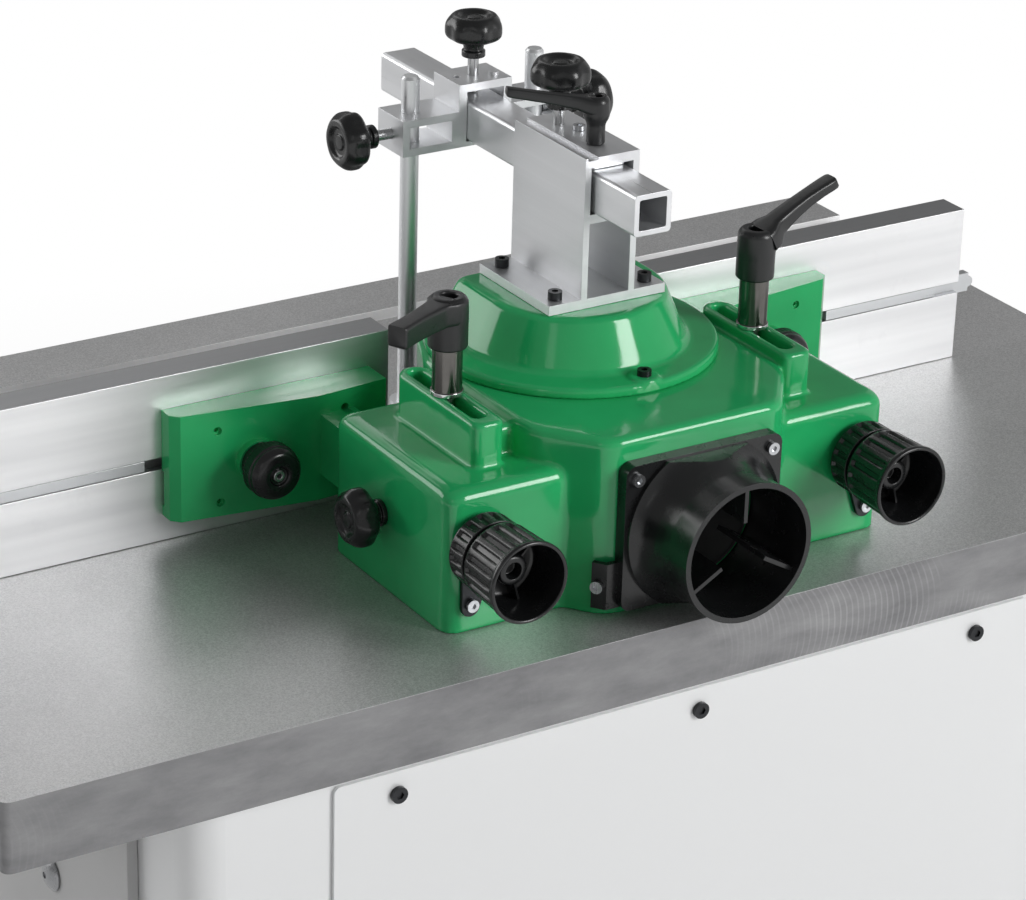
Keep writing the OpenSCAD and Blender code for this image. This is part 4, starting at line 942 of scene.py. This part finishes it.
@dataclass
class Casting:
    """A cast piece: its field is turned into a fine mesh of even squares."""

    name: str
    body: str
    finish: Finish
    low: Place
    high: Place
    step: float = 1.7

    def field(self, spots: Spots) -> np.ndarray:
        """Distances to the piece from spots, negative inside it."""
        raise NotImplementedError

    def skin(self) -> tuple[np.ndarray, np.ndarray]:
        """Finds the surface on a grid and settles its points on the field's zero.

        Returns:
            Points and the squares between them.
        """
        step = self.step
        lines = [np.arange(a - 1.5 * step, b + 2.5 * step, step) for a, b in zip(self.low, self.high)]
        values = self.field(np.meshgrid(*lines, indexing="ij"))
        # One point in each cell that the surface crosses
        cells = tuple(n - 1 for n in values.shape)
        total = np.zeros(cells + (3,))
        count = np.zeros(cells)
        corners = [np.array(((c >> 2) & 1, (c >> 1) & 1, c & 1)) for c in range(8)]
        for first in corners:
            for axis in range(3):
                if first[axis]:
                    continue
                last = first + np.eye(3, dtype=int)[axis]
                a, b = (values[tuple(slice(k, k + n) for k, n in zip(c, cells))] for c in (first, last))
                cross = (a < 0) != (b < 0)
                part = np.where(cross, a / np.where(cross, a - b, 1.0), 0.0)
                total += cross[..., None] * (first + part[..., None] * (last - first))
                count += cross
        used = count > 0
        number = np.full(cells, -1)
        number[used] = np.arange(int(used.sum()))
        start = np.array([line[0] for line in lines])
        points = start + step * (np.argwhere(used) + total[used] / count[used][:, None])
        # One square round each line of the grid that the surface crosses
        faces = []
        for axis in range(3):
            ahead = np.diff((values < 0).astype(np.int8), axis=axis)
            for sign in (1, -1):
                spot = np.argwhere(ahead == sign)
                u, v = (axis + 1) % 3, (axis + 2) % 3
                around = []
                for du, dv in ((0, 0), (1, 0), (1, 1), (0, 1)):
                    cell = spot.copy()
                    cell[:, u] -= du
                    cell[:, v] -= dv
                    around.append(number[tuple(cell.T)])
                square = np.stack(around, axis=1)
                faces.append(square if sign < 0 else square[:, ::-1])
        for _ in range(4):
            points = self.settle(points)
        return points, np.concatenate(faces)

    def settle(self, points: np.ndarray) -> np.ndarray:
        """Moves points along the field's slope towards its zero.

        Args:
            points: rows of points.

        Returns:
            The moved points.
        """
        h = 0.05
        here = self.field(points.T)
        sides = [(points + h * e, points - h * e) for e in np.eye(3)]
        slope = np.stack([(self.field(a.T) - self.field(b.T)) / (2 * h) for a, b in sides], axis=1)
        steep = np.maximum((slope**2).sum(axis=1), 0.2)
        move = np.clip(here / steep, -self.step * 0.5, self.step * 0.5)
        return points - slope * move[:, None]

    def build(self) -> bpy.types.Object:
        """Makes the mesh, dresses it and lets it stand for its CAD node.

        Returns:
            The new object.
        """
        points, faces = self.skin()
        points = np.clip(points, self.low, self.high)
        mesh = bpy.data.meshes.new(self.name)
        mesh.from_pydata((points + (0.0, 0.0, TABLE_TOP)) * MM, [], faces)
        mesh.validate()
        piece = added(self.name, mesh)
        mesh.materials.append(self.finish.material())
        mesh.shade_smooth()
        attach(piece, self.body)
        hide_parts(self.name)
        LOG.info("cast %s from %d squares", self.name, len(faces))
        return piece


@dataclass
class Housing(Casting):
    """The green fence housing: a hopper with two wings and two slotted bosses."""

    roof: float = 130.0
    half: float = 108.0
    faces: Span = (-161.0, 62.0)
    wing_half: float = 180.0
    wing_faces: Span = (-136.0, 20.0)
    wing_top: float = 104.5
    boss_top: float = 137.0
    boss_half: float = 12.0
    bosses: Point = (-133.0, 120.0)
    slot: Span = (-98.0, -6.0)
    fillet: float = 3.2
    chamber: float = 88.0
    ceiling: float = 121.0
    roof_hole: float = 78.0
    outlet: Point = (59.4, 45.0)
    wall: float = -128.0
    guide: Span = (142.1, 170.7)

    def field(self, spots: Spots) -> np.ndarray:
        """Joins hopper, wings and bosses, and takes off the room inside, the slots and the bores.

        Args:
            spots: the coordinates X, Y and Z of the places asked for.

        Returns:
            Distances to the housing.
        """
        x, y, z = spots
        out = np.abs(x)
        outlet, operator = self.faces
        rear, front = self.wing_faces
        slant, back = unit(50.0, 38.0), unit(42.0, 18.0)
        plan = most(outlet - y, (out - 70.0) * slant[0] - (y - outlet) * slant[1], 9.0)
        plan = most(plan, out - self.half, 9.0)
        plan = most(plan, (out - self.half) * back[0] + (y - front) * back[1], 4.0)
        plan = most(plan, y - operator, 4.0)
        solid = most(plan, z - self.roof, 7.0)
        wing = most(out - self.wing_half, rear - y, 13.0)
        wing = most(most(wing, y - front, 10.0), z - self.wing_top, 11.0)
        solid = least(solid, wing, self.fillet)
        for middle in self.bosses:
            solid = least(solid, self.boss(spots, middle), self.fillet)
        solid = without(solid, self.room(spots), 0.6)
        for middle in self.bosses:
            solid = without(solid, shared(stadium(x, y, middle, self.slot, 5.5), 90.0 - z), 2.4)
        return np.maximum(solid, 0.3 - z)

    def boss(self, spots: Spots, middle: float) -> np.ndarray:
        """Makes a slotted boss with a round far end, and the web between it and the hopper.

        Args:
            spots: the coordinates X, Y and Z of the places asked for.
            middle: the boss's middle along the table.

        Returns:
            Distances to the boss and its web.
        """
        x, y, z = spots
        half = self.boss_half
        tail = np.hypot(x - middle, np.maximum(y + half, 0.0)) - half
        body = most(most(tail, -110.0 - y, 8.0), z - self.boss_top, 3.0)
        side = math.copysign(1.0, middle)
        web = most(span(side * x, 90.0, abs(middle) - 1.0), span(y, -97.0, -12.0), 4.0)
        web = most(web, z - 126.0, 5.0)
        return np.maximum(least(body, web, 3.0), 88.0 - z)

    def room(self, spots: Spots) -> np.ndarray:
        """Joins the cutter chamber, the outlet's bore, the roof's hole and the pockets in the wings.

        Args:
            spots: the coordinates X, Y and Z of the places asked for.

        Returns:
            Distances to the room inside.
        """
        x, y, z = spots
        room = shared(np.hypot(x, y) - self.chamber, z - self.ceiling)
        front = shared(np.abs(x) - self.chamber, -y, y - 70.0, z - self.ceiling)
        height, bore = self.outlet
        duct = shared(np.hypot(x, z - height) - bore, y + 60.0)
        roof = shared(np.hypot(x, y) - self.roof_hole, 120.0 - z)
        room = reduce(np.minimum, (room, front, duct, roof))
        for middle in self.bosses:
            out = math.copysign(1.0, middle) * x
            inner, outer = abs(middle) - 11.0, min(abs(middle) + 11.0, 138.4)
            pocket = shared(span(out, inner, outer), span(y, self.wall, 12.0), z - 94.0)
            bar = shared(span(out, *self.guide), span(y, self.wall, 21.0), span(z, 39.7, 86.3))
            foot = shared(span(out, 142.4, 170.4), span(y, self.wall, 12.0), z - 30.0)
            screw = shared(np.hypot(out - MICRO_AXIS[0], z - MICRO_AXIS[1]) - 8.2, span(y, -140.0, -126.0))
            lock = shared(np.hypot(y - SIDE_AXIS[0], z - SIDE_AXIS[1]) - 5.2, span(out, 168.0, 182.0))
            room = reduce(np.minimum, (room, pocket, bar, foot, screw, lock))
        return room


@dataclass
class Cap(Casting):
    """The round cap: a flange and a dome with flat sides towards the operator."""

    flange: float = 105.0
    under: float = 130.3
    over: float = 137.3
    top: float = 173.7
    foot: float = 82.0
    head: float = 66.0

    def field(self, spots: Spots) -> np.ndarray:
        """Joins flange, cone and the squared part behind it, and takes off the hollow.

        Args:
            spots: the coordinates X, Y and Z of the places asked for.

        Returns:
            Distances to the cap.
        """
        x, y, z = spots
        reach = np.hypot(x, y)
        rise, run = self.top - self.over, self.foot - self.head
        lean, face = unit(rise, run), unit(rise, 10.0)
        plate = most(reach - self.flange, z - self.over, 4.0)
        cone = (reach - self.foot) * lean[0] + (z - self.over) * lean[1]
        sides = (np.abs(x) - self.foot) * lean[0] + (z - self.over) * lean[1]
        end = (y - 60.0) * face[0] + (z - self.over) * face[1]
        block = np.maximum(most(sides, end, 9.0), -y)
        dome = most(np.minimum(cone, block), z - self.top, 4.0)
        pad = most(np.hypot(x, y + 94.0) - 10.5, z - self.over - 1.6, 1.5)
        solid = least(least(plate, dome, 5.0), pad, 3.0)
        hollow = np.maximum(reach - (self.head - 8.0), z - self.top + 6.0)
        return shared(solid, -hollow, self.under - z)


@dataclass
class StarKnob:
    """A lobed clamping knob on a collar, with its steel stud."""

    name: str
    body: str
    spot: Place
    axis: Vector
    radius: float
    height: float
    collar: Point
    stud: Place
    lobes: int = 7
    scoop: float = 1.9
    turn: float = 0.0

    def fluted(self, angle: float, radius: float, height: float) -> float:
        """Takes a finger scoop off between the lobes.

        Args:
            angle: radians round the knob.
            radius: the plain radius.
            height: millimetres over the collar.

        Returns:
            The radius there.
        """
        if radius < self.radius * 0.6:
            return radius
        scoop = (0.5 + 0.5 * math.cos(self.lobes * angle)) ** 1.5
        reach = math.exp(-(((height - self.height * 0.46) / (self.height * 0.4)) ** 2))
        return radius - self.scoop * scoop * reach * min(1.0, (radius / self.radius - 0.6) * 4)

    def build(self) -> None:
        """Makes the knob and its stud."""
        r, h = self.radius, self.height
        collar_r, collar_h = self.collar
        line = rounded(
            [
                (0, -collar_h, 0), (collar_r + 0.6, -collar_h, 0.6),
                (collar_r + 0.6, -collar_h * 0.62, 0.5), (collar_r - 0.8, -collar_h * 0.5, 0.5),
                (collar_r, 0.5, 3.0), (r * 0.72, 0.8, 7.0), (r, h * 0.22, 10.0), (r, h * 0.7, 10.0),
                (r * 0.76, h, 7.0), (r * 0.56, h, 3.0), (r * 0.46, h * 0.87, 3.0),
                (r * 0.28, h * 0.86, 1.5), (r * 0.24, h * 0.92, 0.8), (0, h * 0.93, 0),
            ],
            5,
        )
        place = standing(*self.spot, self.axis, self.turn)
        knob = Shape().turned(place, line, 84, self.fluted)
        knob.make(self.name, BLACK, self.body, [self.name], sharp=50)
        radius, start, end = self.stud
        edge = 0.5
        rod = [(0, start), (radius - edge, start), (radius, start + edge), (radius, end), (0, end)]
        Shape().turned(place, rod, 40).make(f"{self.name}_stud", BRIGHT, self.body)
        LOG.info("built %s", self.name)


@dataclass
class PlateKnob:
    """A round clamping knob on a carrier, dished in front, with a socket screw in it."""

    name: str
    body: str
    side: int
    x: float = 218.0
    z: float = 60.0
    back: float = 57.2
    front: float = 28.0
    radius: float = 20.0
    thick: float = 19.0

    def knurled(self, angle: float, radius: float, height: float) -> float:
        """Cuts fine knurling near the back.

        Args:
            angle: radians round the knob.
            radius: the plain radius.
            height: millimetres in front of the knob's back.

        Returns:
            The radius there.
        """
        low = self.back - self.front - self.thick
        if radius < self.radius - 1.2 or not low + 1.5 < height < low + 9.5:
            return radius
        return radius - 0.45 * (0.5 + 0.5 * math.cos(angle * 42))

    def build(self) -> None:
        """Makes the knob and its screw."""
        r, h = self.radius, self.back - self.front
        low = h - self.thick
        line = rounded(
            [
                (0, 0, 0), (r * 0.75, 0, 0.8), (r * 0.72, low - 0.5, 1.5), (r - 1.2, low, 0.8),
                (r, low + 1.2, 0.6), (r, low + 5.5, 0.5), (r, low + 10.0, 0.8), (r - 0.8, low + 10.6, 0.5),
                (r - 0.8, h - 5.0, 4.0), (r * 0.82, h - 0.8, 5.0), (r * 0.5, h, 3.0),
                (r * 0.37, h - 0.5, 0.9), (r * 0.33, h - 2.6, 1.0), (r * 0.2, h - 2.8, 0.4),
                (0, h - 2.8, 0),
            ],
            5,
        )
        place = standing(self.side * self.x, self.back, self.z, Vector((0, -1, 0)))
        knob = Shape().turned(place, line, 168, self.knurled)
        knob.make(self.name, BLACK, self.body, [self.name], sharp=50)
        screw = [(4.2, 0.2), (4.2, 1.6), (3.8, 2.0), (2.3, 2.0), (2.0, 1.7), (2.0, 0.2)]
        seat = standing(self.side * self.x, self.back - h + 2.8, self.z, Vector((0, -1, 0)))
        Shape().turned(seat, screw, 24).make(f"{self.name}_screw", BRIGHT, self.body, sharp=30)
        LOG.info("built %s", self.name)


@dataclass
class MicroKnob:
    """A ribbed cup that sets a carrier, with a hub and webs inside."""

    name: str
    body: str
    side: int
    x: float = MICRO_AXIS[0]
    z: float = MICRO_AXIS[1]
    back: float = -140.2
    front: float = -201.2
    rim: float = 29.5
    collar: float = 26.4
    cup: float = 27.3
    ribs: int = 18
    groove: float = 2.1

    def wall(self, height: float) -> float:
        """The outer radius at a height: a straight collar, then a cup that widens a little."""
        return self.collar if height < 19 else self.cup + (height - 21.0) * 0.035

    def ribbed(self, angle: float, radius: float, height: float) -> float:
        """Cuts narrow grooves between the ribs.

        Args:
            angle: radians round the knob.
            radius: the plain radius.
            height: millimetres in front of the flange.

        Returns:
            The radius there.
        """
        depth = self.groove_depth(radius, height)
        if not depth:
            return radius
        place = (angle * self.ribs / math.tau) % 1.0
        off = abs(place - 0.5) * 2
        cut = min(1.0, max(0.0, (off - 0.46) / 0.18))
        return radius - depth * cut

    def groove_depth(self, radius: float, height: float) -> float:
        """Says how deep the grooves are.

        Args:
            radius: the plain radius.
            height: millimetres in front of the flange.

        Returns:
            Their depth, or nought off the outer wall.
        """
        if abs(radius - self.wall(height)) > 1.0:
            return 0.0
        for low, high in ((2.0, 16.5), (23.0, 55.5)):
            if low <= height <= high:
                return self.groove * min(1.0, (height - low) / 2.0, (high - height) / 2.0)
        return 0.0

    def build(self) -> None:
        """Makes the cup, its hub and its webs."""
        depth, rim, collar = self.back - self.front, self.rim, self.collar
        outer: list[Place] = [(8.2, 0.0, 0), (25.6, 0.0, 1.0), (collar, 1.0, 0.6)]
        outer += [(self.wall(h), h, 0.0) for h in (2.0, 4.0, 9.0, 14.5, 16.5)]
        outer += [(collar, 17.4, 0.6), (22.8, 18.0, 0.5), (22.8, 20.4, 0.5), (27.0, 21.0, 0.6)]
        outer += [(self.wall(h), h, 0.0) for h in (23.0, 25.0, 32.0, 40.0, 47.0, 53.5, 55.5)]
        inner = [
            (28.6, depth - 4.4, 0.6), (rim, depth - 3.6, 0.9), (rim, depth - 0.9, 0.9),
            (rim - 1.2, depth, 1.0), (rim - 2.8, depth - 0.6, 1.0), (rim - 3.6, depth - 8.0, 2.0),
            (23.6, 27.0, 3.0), (12.4, 25.5, 2.0), (11.4, depth - 24.0, 2.0), (10.2, depth - 21.0, 1.6),
            (6.0, depth - 20.6, 0.6), (5.6, depth - 29.0, 0.8), (0, depth - 29.4, 0),
        ]
        line = rounded([(0, 0, 0), *outer, *inner], 3)
        place = standing(self.side * self.x, self.back, self.z, Vector((0, -1, 0)))
        cup = Shape().turned(place, line, self.ribs * 12, self.ribbed)
        for i in range(3):
            turn = place @ Matrix.Rotation(math.radians(120 * i + 45), 4, "Z")
            rings = [
                [turn @ Vector((a, b, h)) for a, b in ((8, -w), (24.4, -w), (24.4, w), (8, w))]
                for h, w in ((24.0, 1.6), (36.0, 1.3), (37.0, 0.7))
            ]
            cup.loft(rings)
        cup.make(self.name, BLACK, self.body, [self.name], sharp=38)
        screw = [(0, -52.0), (6, -52.0), (6, 1.0), (0, 1.0)]
        Shape().turned(place, screw, 32).make(f"{self.name}_screw", BRIGHT, self.body)
        LOG.info("built %s", self.name)


@dataclass
class ClampLever:
    """An adjustable clamping lever: a hub with a cap hole and a tapering arm."""

    name: str
    body: str
    spot: Place
    hub: Point
    azimuth: float
    reach: float
    rise: float
    width: float
    bore: float
    droop: float = 0.0
    tip: float = 0.57
    root: float = 1.25
    corners: float = 5.0
    neck: float = 0.0

    def build(self) -> None:
        """Makes the hub, the arm and the screw in the hub."""
        r, h = self.hub
        x, y, z = self.spot
        place = standing(x, y, z, None, self.azimuth)
        low = self.neck or r - 0.2
        line = rounded(
            [
                (self.bore, 0, 0), (low - 0.8, 0, 0.6), (low, 1.0, 0.6), (low, h * 0.42, 2.0),
                (r, h * 0.58, 3.0), (r - 0.4, h - 3.0, 2.0), (r - 3.0, h, 1.6), (r * 0.48, h - 0.2, 0.6),
                (r * 0.44, h - 1.0, 0.5), (r * 0.44, h - 5.0, 0.3), (self.bore, h - 5.2, 0),
            ],
            5,
        )
        body = Shape().turned(place, line, 56)
        lean = place @ Matrix.Translation((0, 0, h - 1.2)) @ Matrix.Rotation(-math.radians(self.rise), 4, "Y")
        w, reach = self.width, self.reach
        stations = [(r * 0.1, 0.98 * r, w * self.root), (r * 0.55, 0.9 * r, w * self.root * 0.96)]
        for share, half in ((0.2, 0.6), (0.3, 0.56), (0.45, 0.51), (0.62, 0.47), (0.8, 0.48), (0.92, 0.5)):
            deep = w * (self.tip + (self.root - self.tip) * (1 - share) ** 2.4)
            stations.append((reach * share, half * w, deep))
        round_end = ((0.97, 0.98), (0.99, 0.9), (1.0, 0.72))
        blunt_end = ((0.975, 1.0), (0.992, 0.97), (1.0, 0.9))
        for share, size in round_end if self.corners < 8 else blunt_end:
            stations.append((reach * share, 0.5 * w * size, w * self.tip * size))
        rings = []
        for along, half, deep in stations:
            dip = self.droop * (along / reach) ** 2.5
            mid = Matrix.Translation((along, 0, -deep / 2 - dip)) @ Matrix.Rotation(math.pi / 2, 4, "Y")
            rings.append(squared(lean @ mid, (deep / 2, half), self.corners, 36))
        body.loft(rings)
        body.make(self.name, LEVER_COAT, self.body, [self.name], sharp=42)
        screw = [(0, h - 8), (r * 0.4, h - 8), (r * 0.4, h - 5.4)]
        screw += [(r * 0.34, h - 4.9), (r * 0.2, h - 4.9), (0, h - 6.4)]
        Shape().turned(place, screw, 6).make(f"{self.name}_screw", BLACKENED, self.body)
        LOG.info("built %s", self.name)


@dataclass
class Castings:
    """The green castings."""

    def build(self) -> None:
        """Makes the housing and its cap."""
        Housing("fence_housing", "housing", GREEN, (-180.0, -161.0, 0.3), (180.0, 62.0, 137.0)).build()
        Cap("cap", "housing", GREEN, (-105.0, -105.0, 130.3), (105.0, 105.0, 173.7), 1.4).build()


@dataclass
class Controls:
    """All knobs and levers, each where its CAD node is."""

    clamp_y: float = 140.0
    side_z: float = 252.0

    def build(self) -> None:
        """Makes every knob and lever."""
        up = Vector((0, 0, 1))
        StarKnob("bracket_star", "arm_knob", (1, 26, 311), up, 21.5, 20, (8, 15), (4, -34, 2), turn=12).build()
        spot = (0, self.clamp_y, 311)
        StarKnob("clamp_star_top", "clamp_knob", spot, up, 21, 20, (8, 11), (4, -37.6, 2)).build()
        for side, word, letter in ((-1, "left", "l"), (1, "right", "r")):
            out = Vector((side, 0, 0))
            spot = (side * 92, self.clamp_y, self.side_z)
            names = f"side_star_{word}", f"rod_knob_{letter}"
            StarKnob(*names, spot, out, 21.5, 20, (8, 10), (4, -33, 2)).build()
            spot = (side * 189, *SIDE_AXIS)
            names = f"side_knob_{word}", f"side_knob_{letter}"
            StarKnob(*names, spot, out, 21, 20, (9, 8.7), (5, -18, 1), turn=20).build()
            PlateKnob(f"plate_knob_{word}", f"plate_knob_{letter}", side).build()
            MicroKnob(f"micro_knob_{word}", f"micro_{letter}", side).build()
        ClampLever(
            "lever_left", "lock_lever_l", (-133, -52, 171.6), (14, 37), azimuth=207, reach=64, rise=0,
            width=15, bore=5.05, tip=1.05, root=1.15, corners=9.0,
        ).build()
        ClampLever(
            "lever_right", "lock_lever_r", (120, -52, 174.6), (14, 37), azimuth=2, reach=70, rise=28,
            width=14, bore=5.05, droop=5.0, tip=0.62,
        ).build()
        ClampLever(
            "bracket_lever", "arm_lever", (1, -21, 284.3), (9.5, 35), azimuth=160, reach=64, rise=7,
            width=8.4, bore=0.0, droop=-2.0, tip=0.82, root=1.5, corners=4.0, neck=6.5,
        ).build()


@dataclass
class Carried:
    """CAD nodes that keep their shape: their finish, the width of their soft edges and their names."""

    finishes: tuple[tuple[Finish, float, str], ...] = (
        (IRON, 1.0, "table"),
        (RING_STEEL, 0.4, "table_rings door_latch"),
        (SHEET, 0.0, "cabinet"),
        (SHEET, 0.5, "rear_cover"),
        (SHADED_DOOR_PAINT, 0.8, "side_door"),
        (PLINTH_PAINT, 0.0, "base_plinth"),
        (GREY_BOX, 1.0, "switch_box"),
        (CAST_PART, 0.0, "arbor_bracket quill motor"),
        (BLACKENED, 0.0, "rear_cover_screws"),
        (BLACKENED, 0.3, "socket_screws"),
        (BLACKENED, 0.4, "spindle_nut micro_flanges"),
        (BRIGHT, 0.0, "clamp_studs t_bolt_left t_bolt_right bearings spindle spindle_pulley motor_pulley"),
        (BRIGHT, 0.0, "lift_screw handwheel_shaft"),
        (BRIGHT, 0.4, "spacer_rings"),
        (DARK_SLEEVE, 0.4, "clamp_sleeves"),
        (START, 0.6, "start_button"),
        (RED, 0.6, "stop_button"),
        (RUBBER, 0.0, "drive_belt"),
        (BLACK, 0.0, "handwheel handwheel_grip"),
        (OUTLET, 0.5, "dust_outlet"),
        (ZINC, 0.3, "housing_screws"),
        (GREEN, 1.2, "carrier_left carrier_right"),
        (ALU_X, 0.5, "fence_left fence_right"),
        (ALU_STRIP, 0.3, "fence_strip_left fence_strip_right"),
        (ALU_STRIP, 0.4, "pressure_plate"),
        (ALU_Y, 0.5, "holddown_bracket cross_clamp"),
        (ALU_BEAM, 0.3, "beam"),
        (ROD, 0.0, "rod_left rod_right"),
    )

    def build(self) -> None:
        """Dresses every CAD node that is still shown."""
        for finish, bevel, names in self.finishes:
            for node in names.split():
                dress(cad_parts[node], finish, bevel)
                LOG.info("carried over %s in %s", node, finish.name)


@dataclass
class Studio:
    """Camera, floor and light. The sizes and places of floor, lamps and cards are in metres."""

    eye: Place = (-1317.9, -2005.2, 1134.2)
    yaw: float = 32.40
    pitch: float = -24.45
    roll: float = -1.67
    focal: float = 3669.7
    frame_width: float = 1026.0
    sensor: float = 36.0
    clip: Span = (0.05, 60.0)
    floor_size: float = 28.0
    sky: float = 0.18
    lamp_target: Place = (0.0, 0.0, 0.95)
    card_target: Place = (0.0, 0.0, 1.0)
    upright: Span = (1.0, 6.0)

    def build(self) -> None:
        """Makes the camera, the floor, the sky, the lamps and the cards."""
        self.camera()
        self.floor()
        self.world()
        self.lamps()
        self.cards()
        bpy.context.scene.view_settings.view_transform = "Standard"

    def camera(self) -> None:
        """Stands the camera where the photograph was taken from."""
        yaw, pitch, roll = (math.radians(a) for a in (self.yaw, self.pitch, self.roll))
        ahead = Vector((math.sin(yaw) * math.cos(pitch), math.cos(yaw) * math.cos(pitch), math.sin(pitch)))
        right = Vector((math.cos(yaw), -math.sin(yaw), 0.0))
        down = ahead.cross(right)
        across = right * math.cos(roll) + down * math.sin(roll)
        below = down * math.cos(roll) - right * math.sin(roll)
        data = bpy.data.cameras.new("view")
        data.sensor_width = self.sensor
        data.lens = self.focal / self.frame_width * self.sensor
        data.clip_start, data.clip_end = self.clip
        turn = Matrix((across, -below, -ahead)).transposed().to_4x4()
        spot = Vector(self.eye) + Vector((0, 0, TABLE_TOP))
        bpy.context.scene.camera = added("view", data, Matrix.Translation(spot * MM) @ turn)

    @staticmethod
    def seen(graph: Graph) -> Wire:
        """Finds rays from the camera, in mirrors and through glass.

        Args:
            graph: the graph that takes the nodes.

        Returns:
            A wire with one for such rays, else nought.
        """
        kinds = ("Camera", "Glossy", "Transmission")
        camera, mirror, glass = (graph.node("ShaderNodeLightPath", out=f"Is {kind} Ray") for kind in kinds)
        return (camera + mirror + glass).within()

    def floor(self) -> None:
        """Lays a pale floor that is white in the picture and keeps the shadow."""
        mesh = sheet("floor", self.floor_size, self.floor_size)
        floor = added("floor", mesh)
        made, graph = new_material("floor_white")
        paint = graph.blend(graph.noise(3.0, 3.0) * 0.1, (0.9, 0.9, 0.9, 1), (0.84, 0.84, 0.84, 1))
        x, y, _ = graph.parts()
        far = graph.level(off_axis(x, y), 0.78, 1.0, 1.0, 2.6)
        matt = graph.node("ShaderNodeBsdfDiffuse", None, {"Color": paint})
        glow = graph.node("ShaderNodeEmission", None, {"Color": WHITE, "Strength": 1.0})
        both = graph.node("ShaderNodeMixShader", None, {0: self.seen(graph) * far, 1: matt, 2: glow})
        graph.node("ShaderNodeOutputMaterial", None, {"Surface": both})
        mesh.materials.append(made)

    def world(self) -> None:
        """Makes a soft even sky, white where the camera sees it."""
        world = bpy.data.worlds.new("studio")
        bpy.context.scene.world = world
        world.use_nodes = True
        graph = Graph(world.node_tree)
        soft = graph.node("ShaderNodeBackground", None, {"Color": WHITE, "Strength": self.sky})
        white = graph.node("ShaderNodeBackground", None, {"Color": WHITE, "Strength": 1.0})
        both = graph.node("ShaderNodeMixShader", None, {0: self.seen(graph), 1: soft, 2: white})
        graph.node("ShaderNodeOutputWorld", None, {"Surface": both})

    def lamps(self) -> None:
        """Hangs the soft boxes."""
        target = Vector(self.lamp_target)
        for name, size, spot, power in (
            ("key", (1.3, 2.2), Vector((2.0, -3.5, 2.45)), 108.0),
            ("back_left", (3.0, 2.0), Vector((-2.5, 3.3, 1.95)), 66.0),
            ("fill_left", (0.6, 1.6), Vector((-3.1, -2.3, 2.7)), 3.0),
        ):
            data = bpy.data.lights.new(name, "AREA")
            data.shape = "RECTANGLE"
            data.size, data.size_y = size
            data.energy = power
            added(name, data, facing(spot, spot - target))

    def cards(self) -> None:
        """Hangs dim screens and one bright one, which show in reflections only."""
        low, high = self.upright
        for name, size, spot, glow in (
            ("screen_back", (22.0, 9.0), Vector((0.5, 8.0, 4.6)), 0.2),
            ("screen_left", (18.0, 9.0), Vector((-8.5, 0.0, 4.6)), 0.3),
            ("screen_right", (18.0, 9.0), Vector((8.5, 0.0, 4.6)), 0.55),
            ("screen_front", (22.0, 9.0), Vector((0.0, -8.0, 4.6)), 0.5),
            ("screen_top", (20.0, 20.0), Vector((0.0, 0.01, 7.5)), 0.25),
            ("screen_floor", (14.0, 14.0), Vector((0.0, 0.01, 0.004)), 0.7),
            ("glow_back", (5.6, 1.9), Vector((0.3, 6.0, 4.9)), 1.6),
        ):
            aim = Vector((0.0, 0.0, spot.z)) if low < spot.z < high else Vector(self.card_target)
            self.card(name, size, spot, aim, glow)

    @staticmethod
    def card(name: str, size: Point, spot: Vector, aim: Vector, glow: float) -> None:
        """Hangs a plain card that only shows in reflections.

        Args:
            name: its name.
            size: width and height.
            spot: its middle.
            aim: what it faces.
            glow: how bright it is.
        """
        mesh = sheet(name, *size)
        card = added(name, mesh, facing(spot, aim - spot))
        made, graph = new_material(name)
        shade = graph.node("ShaderNodeEmission", None, {"Color": WHITE, "Strength": glow})
        graph.node("ShaderNodeOutputMaterial", None, {"Surface": shade})
        mesh.materials.append(made)
        card.visible_camera = card.visible_diffuse = card.visible_shadow = False


def main() -> None:
    """Builds the studio and every piece."""
    logging.basicConfig(level=logging.INFO, format="%(name)s: %(message)s")
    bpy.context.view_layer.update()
    Studio().build()
    Castings().build()
    Controls().build()
    Carried().build()


if __name__ == "__main__":
    main()
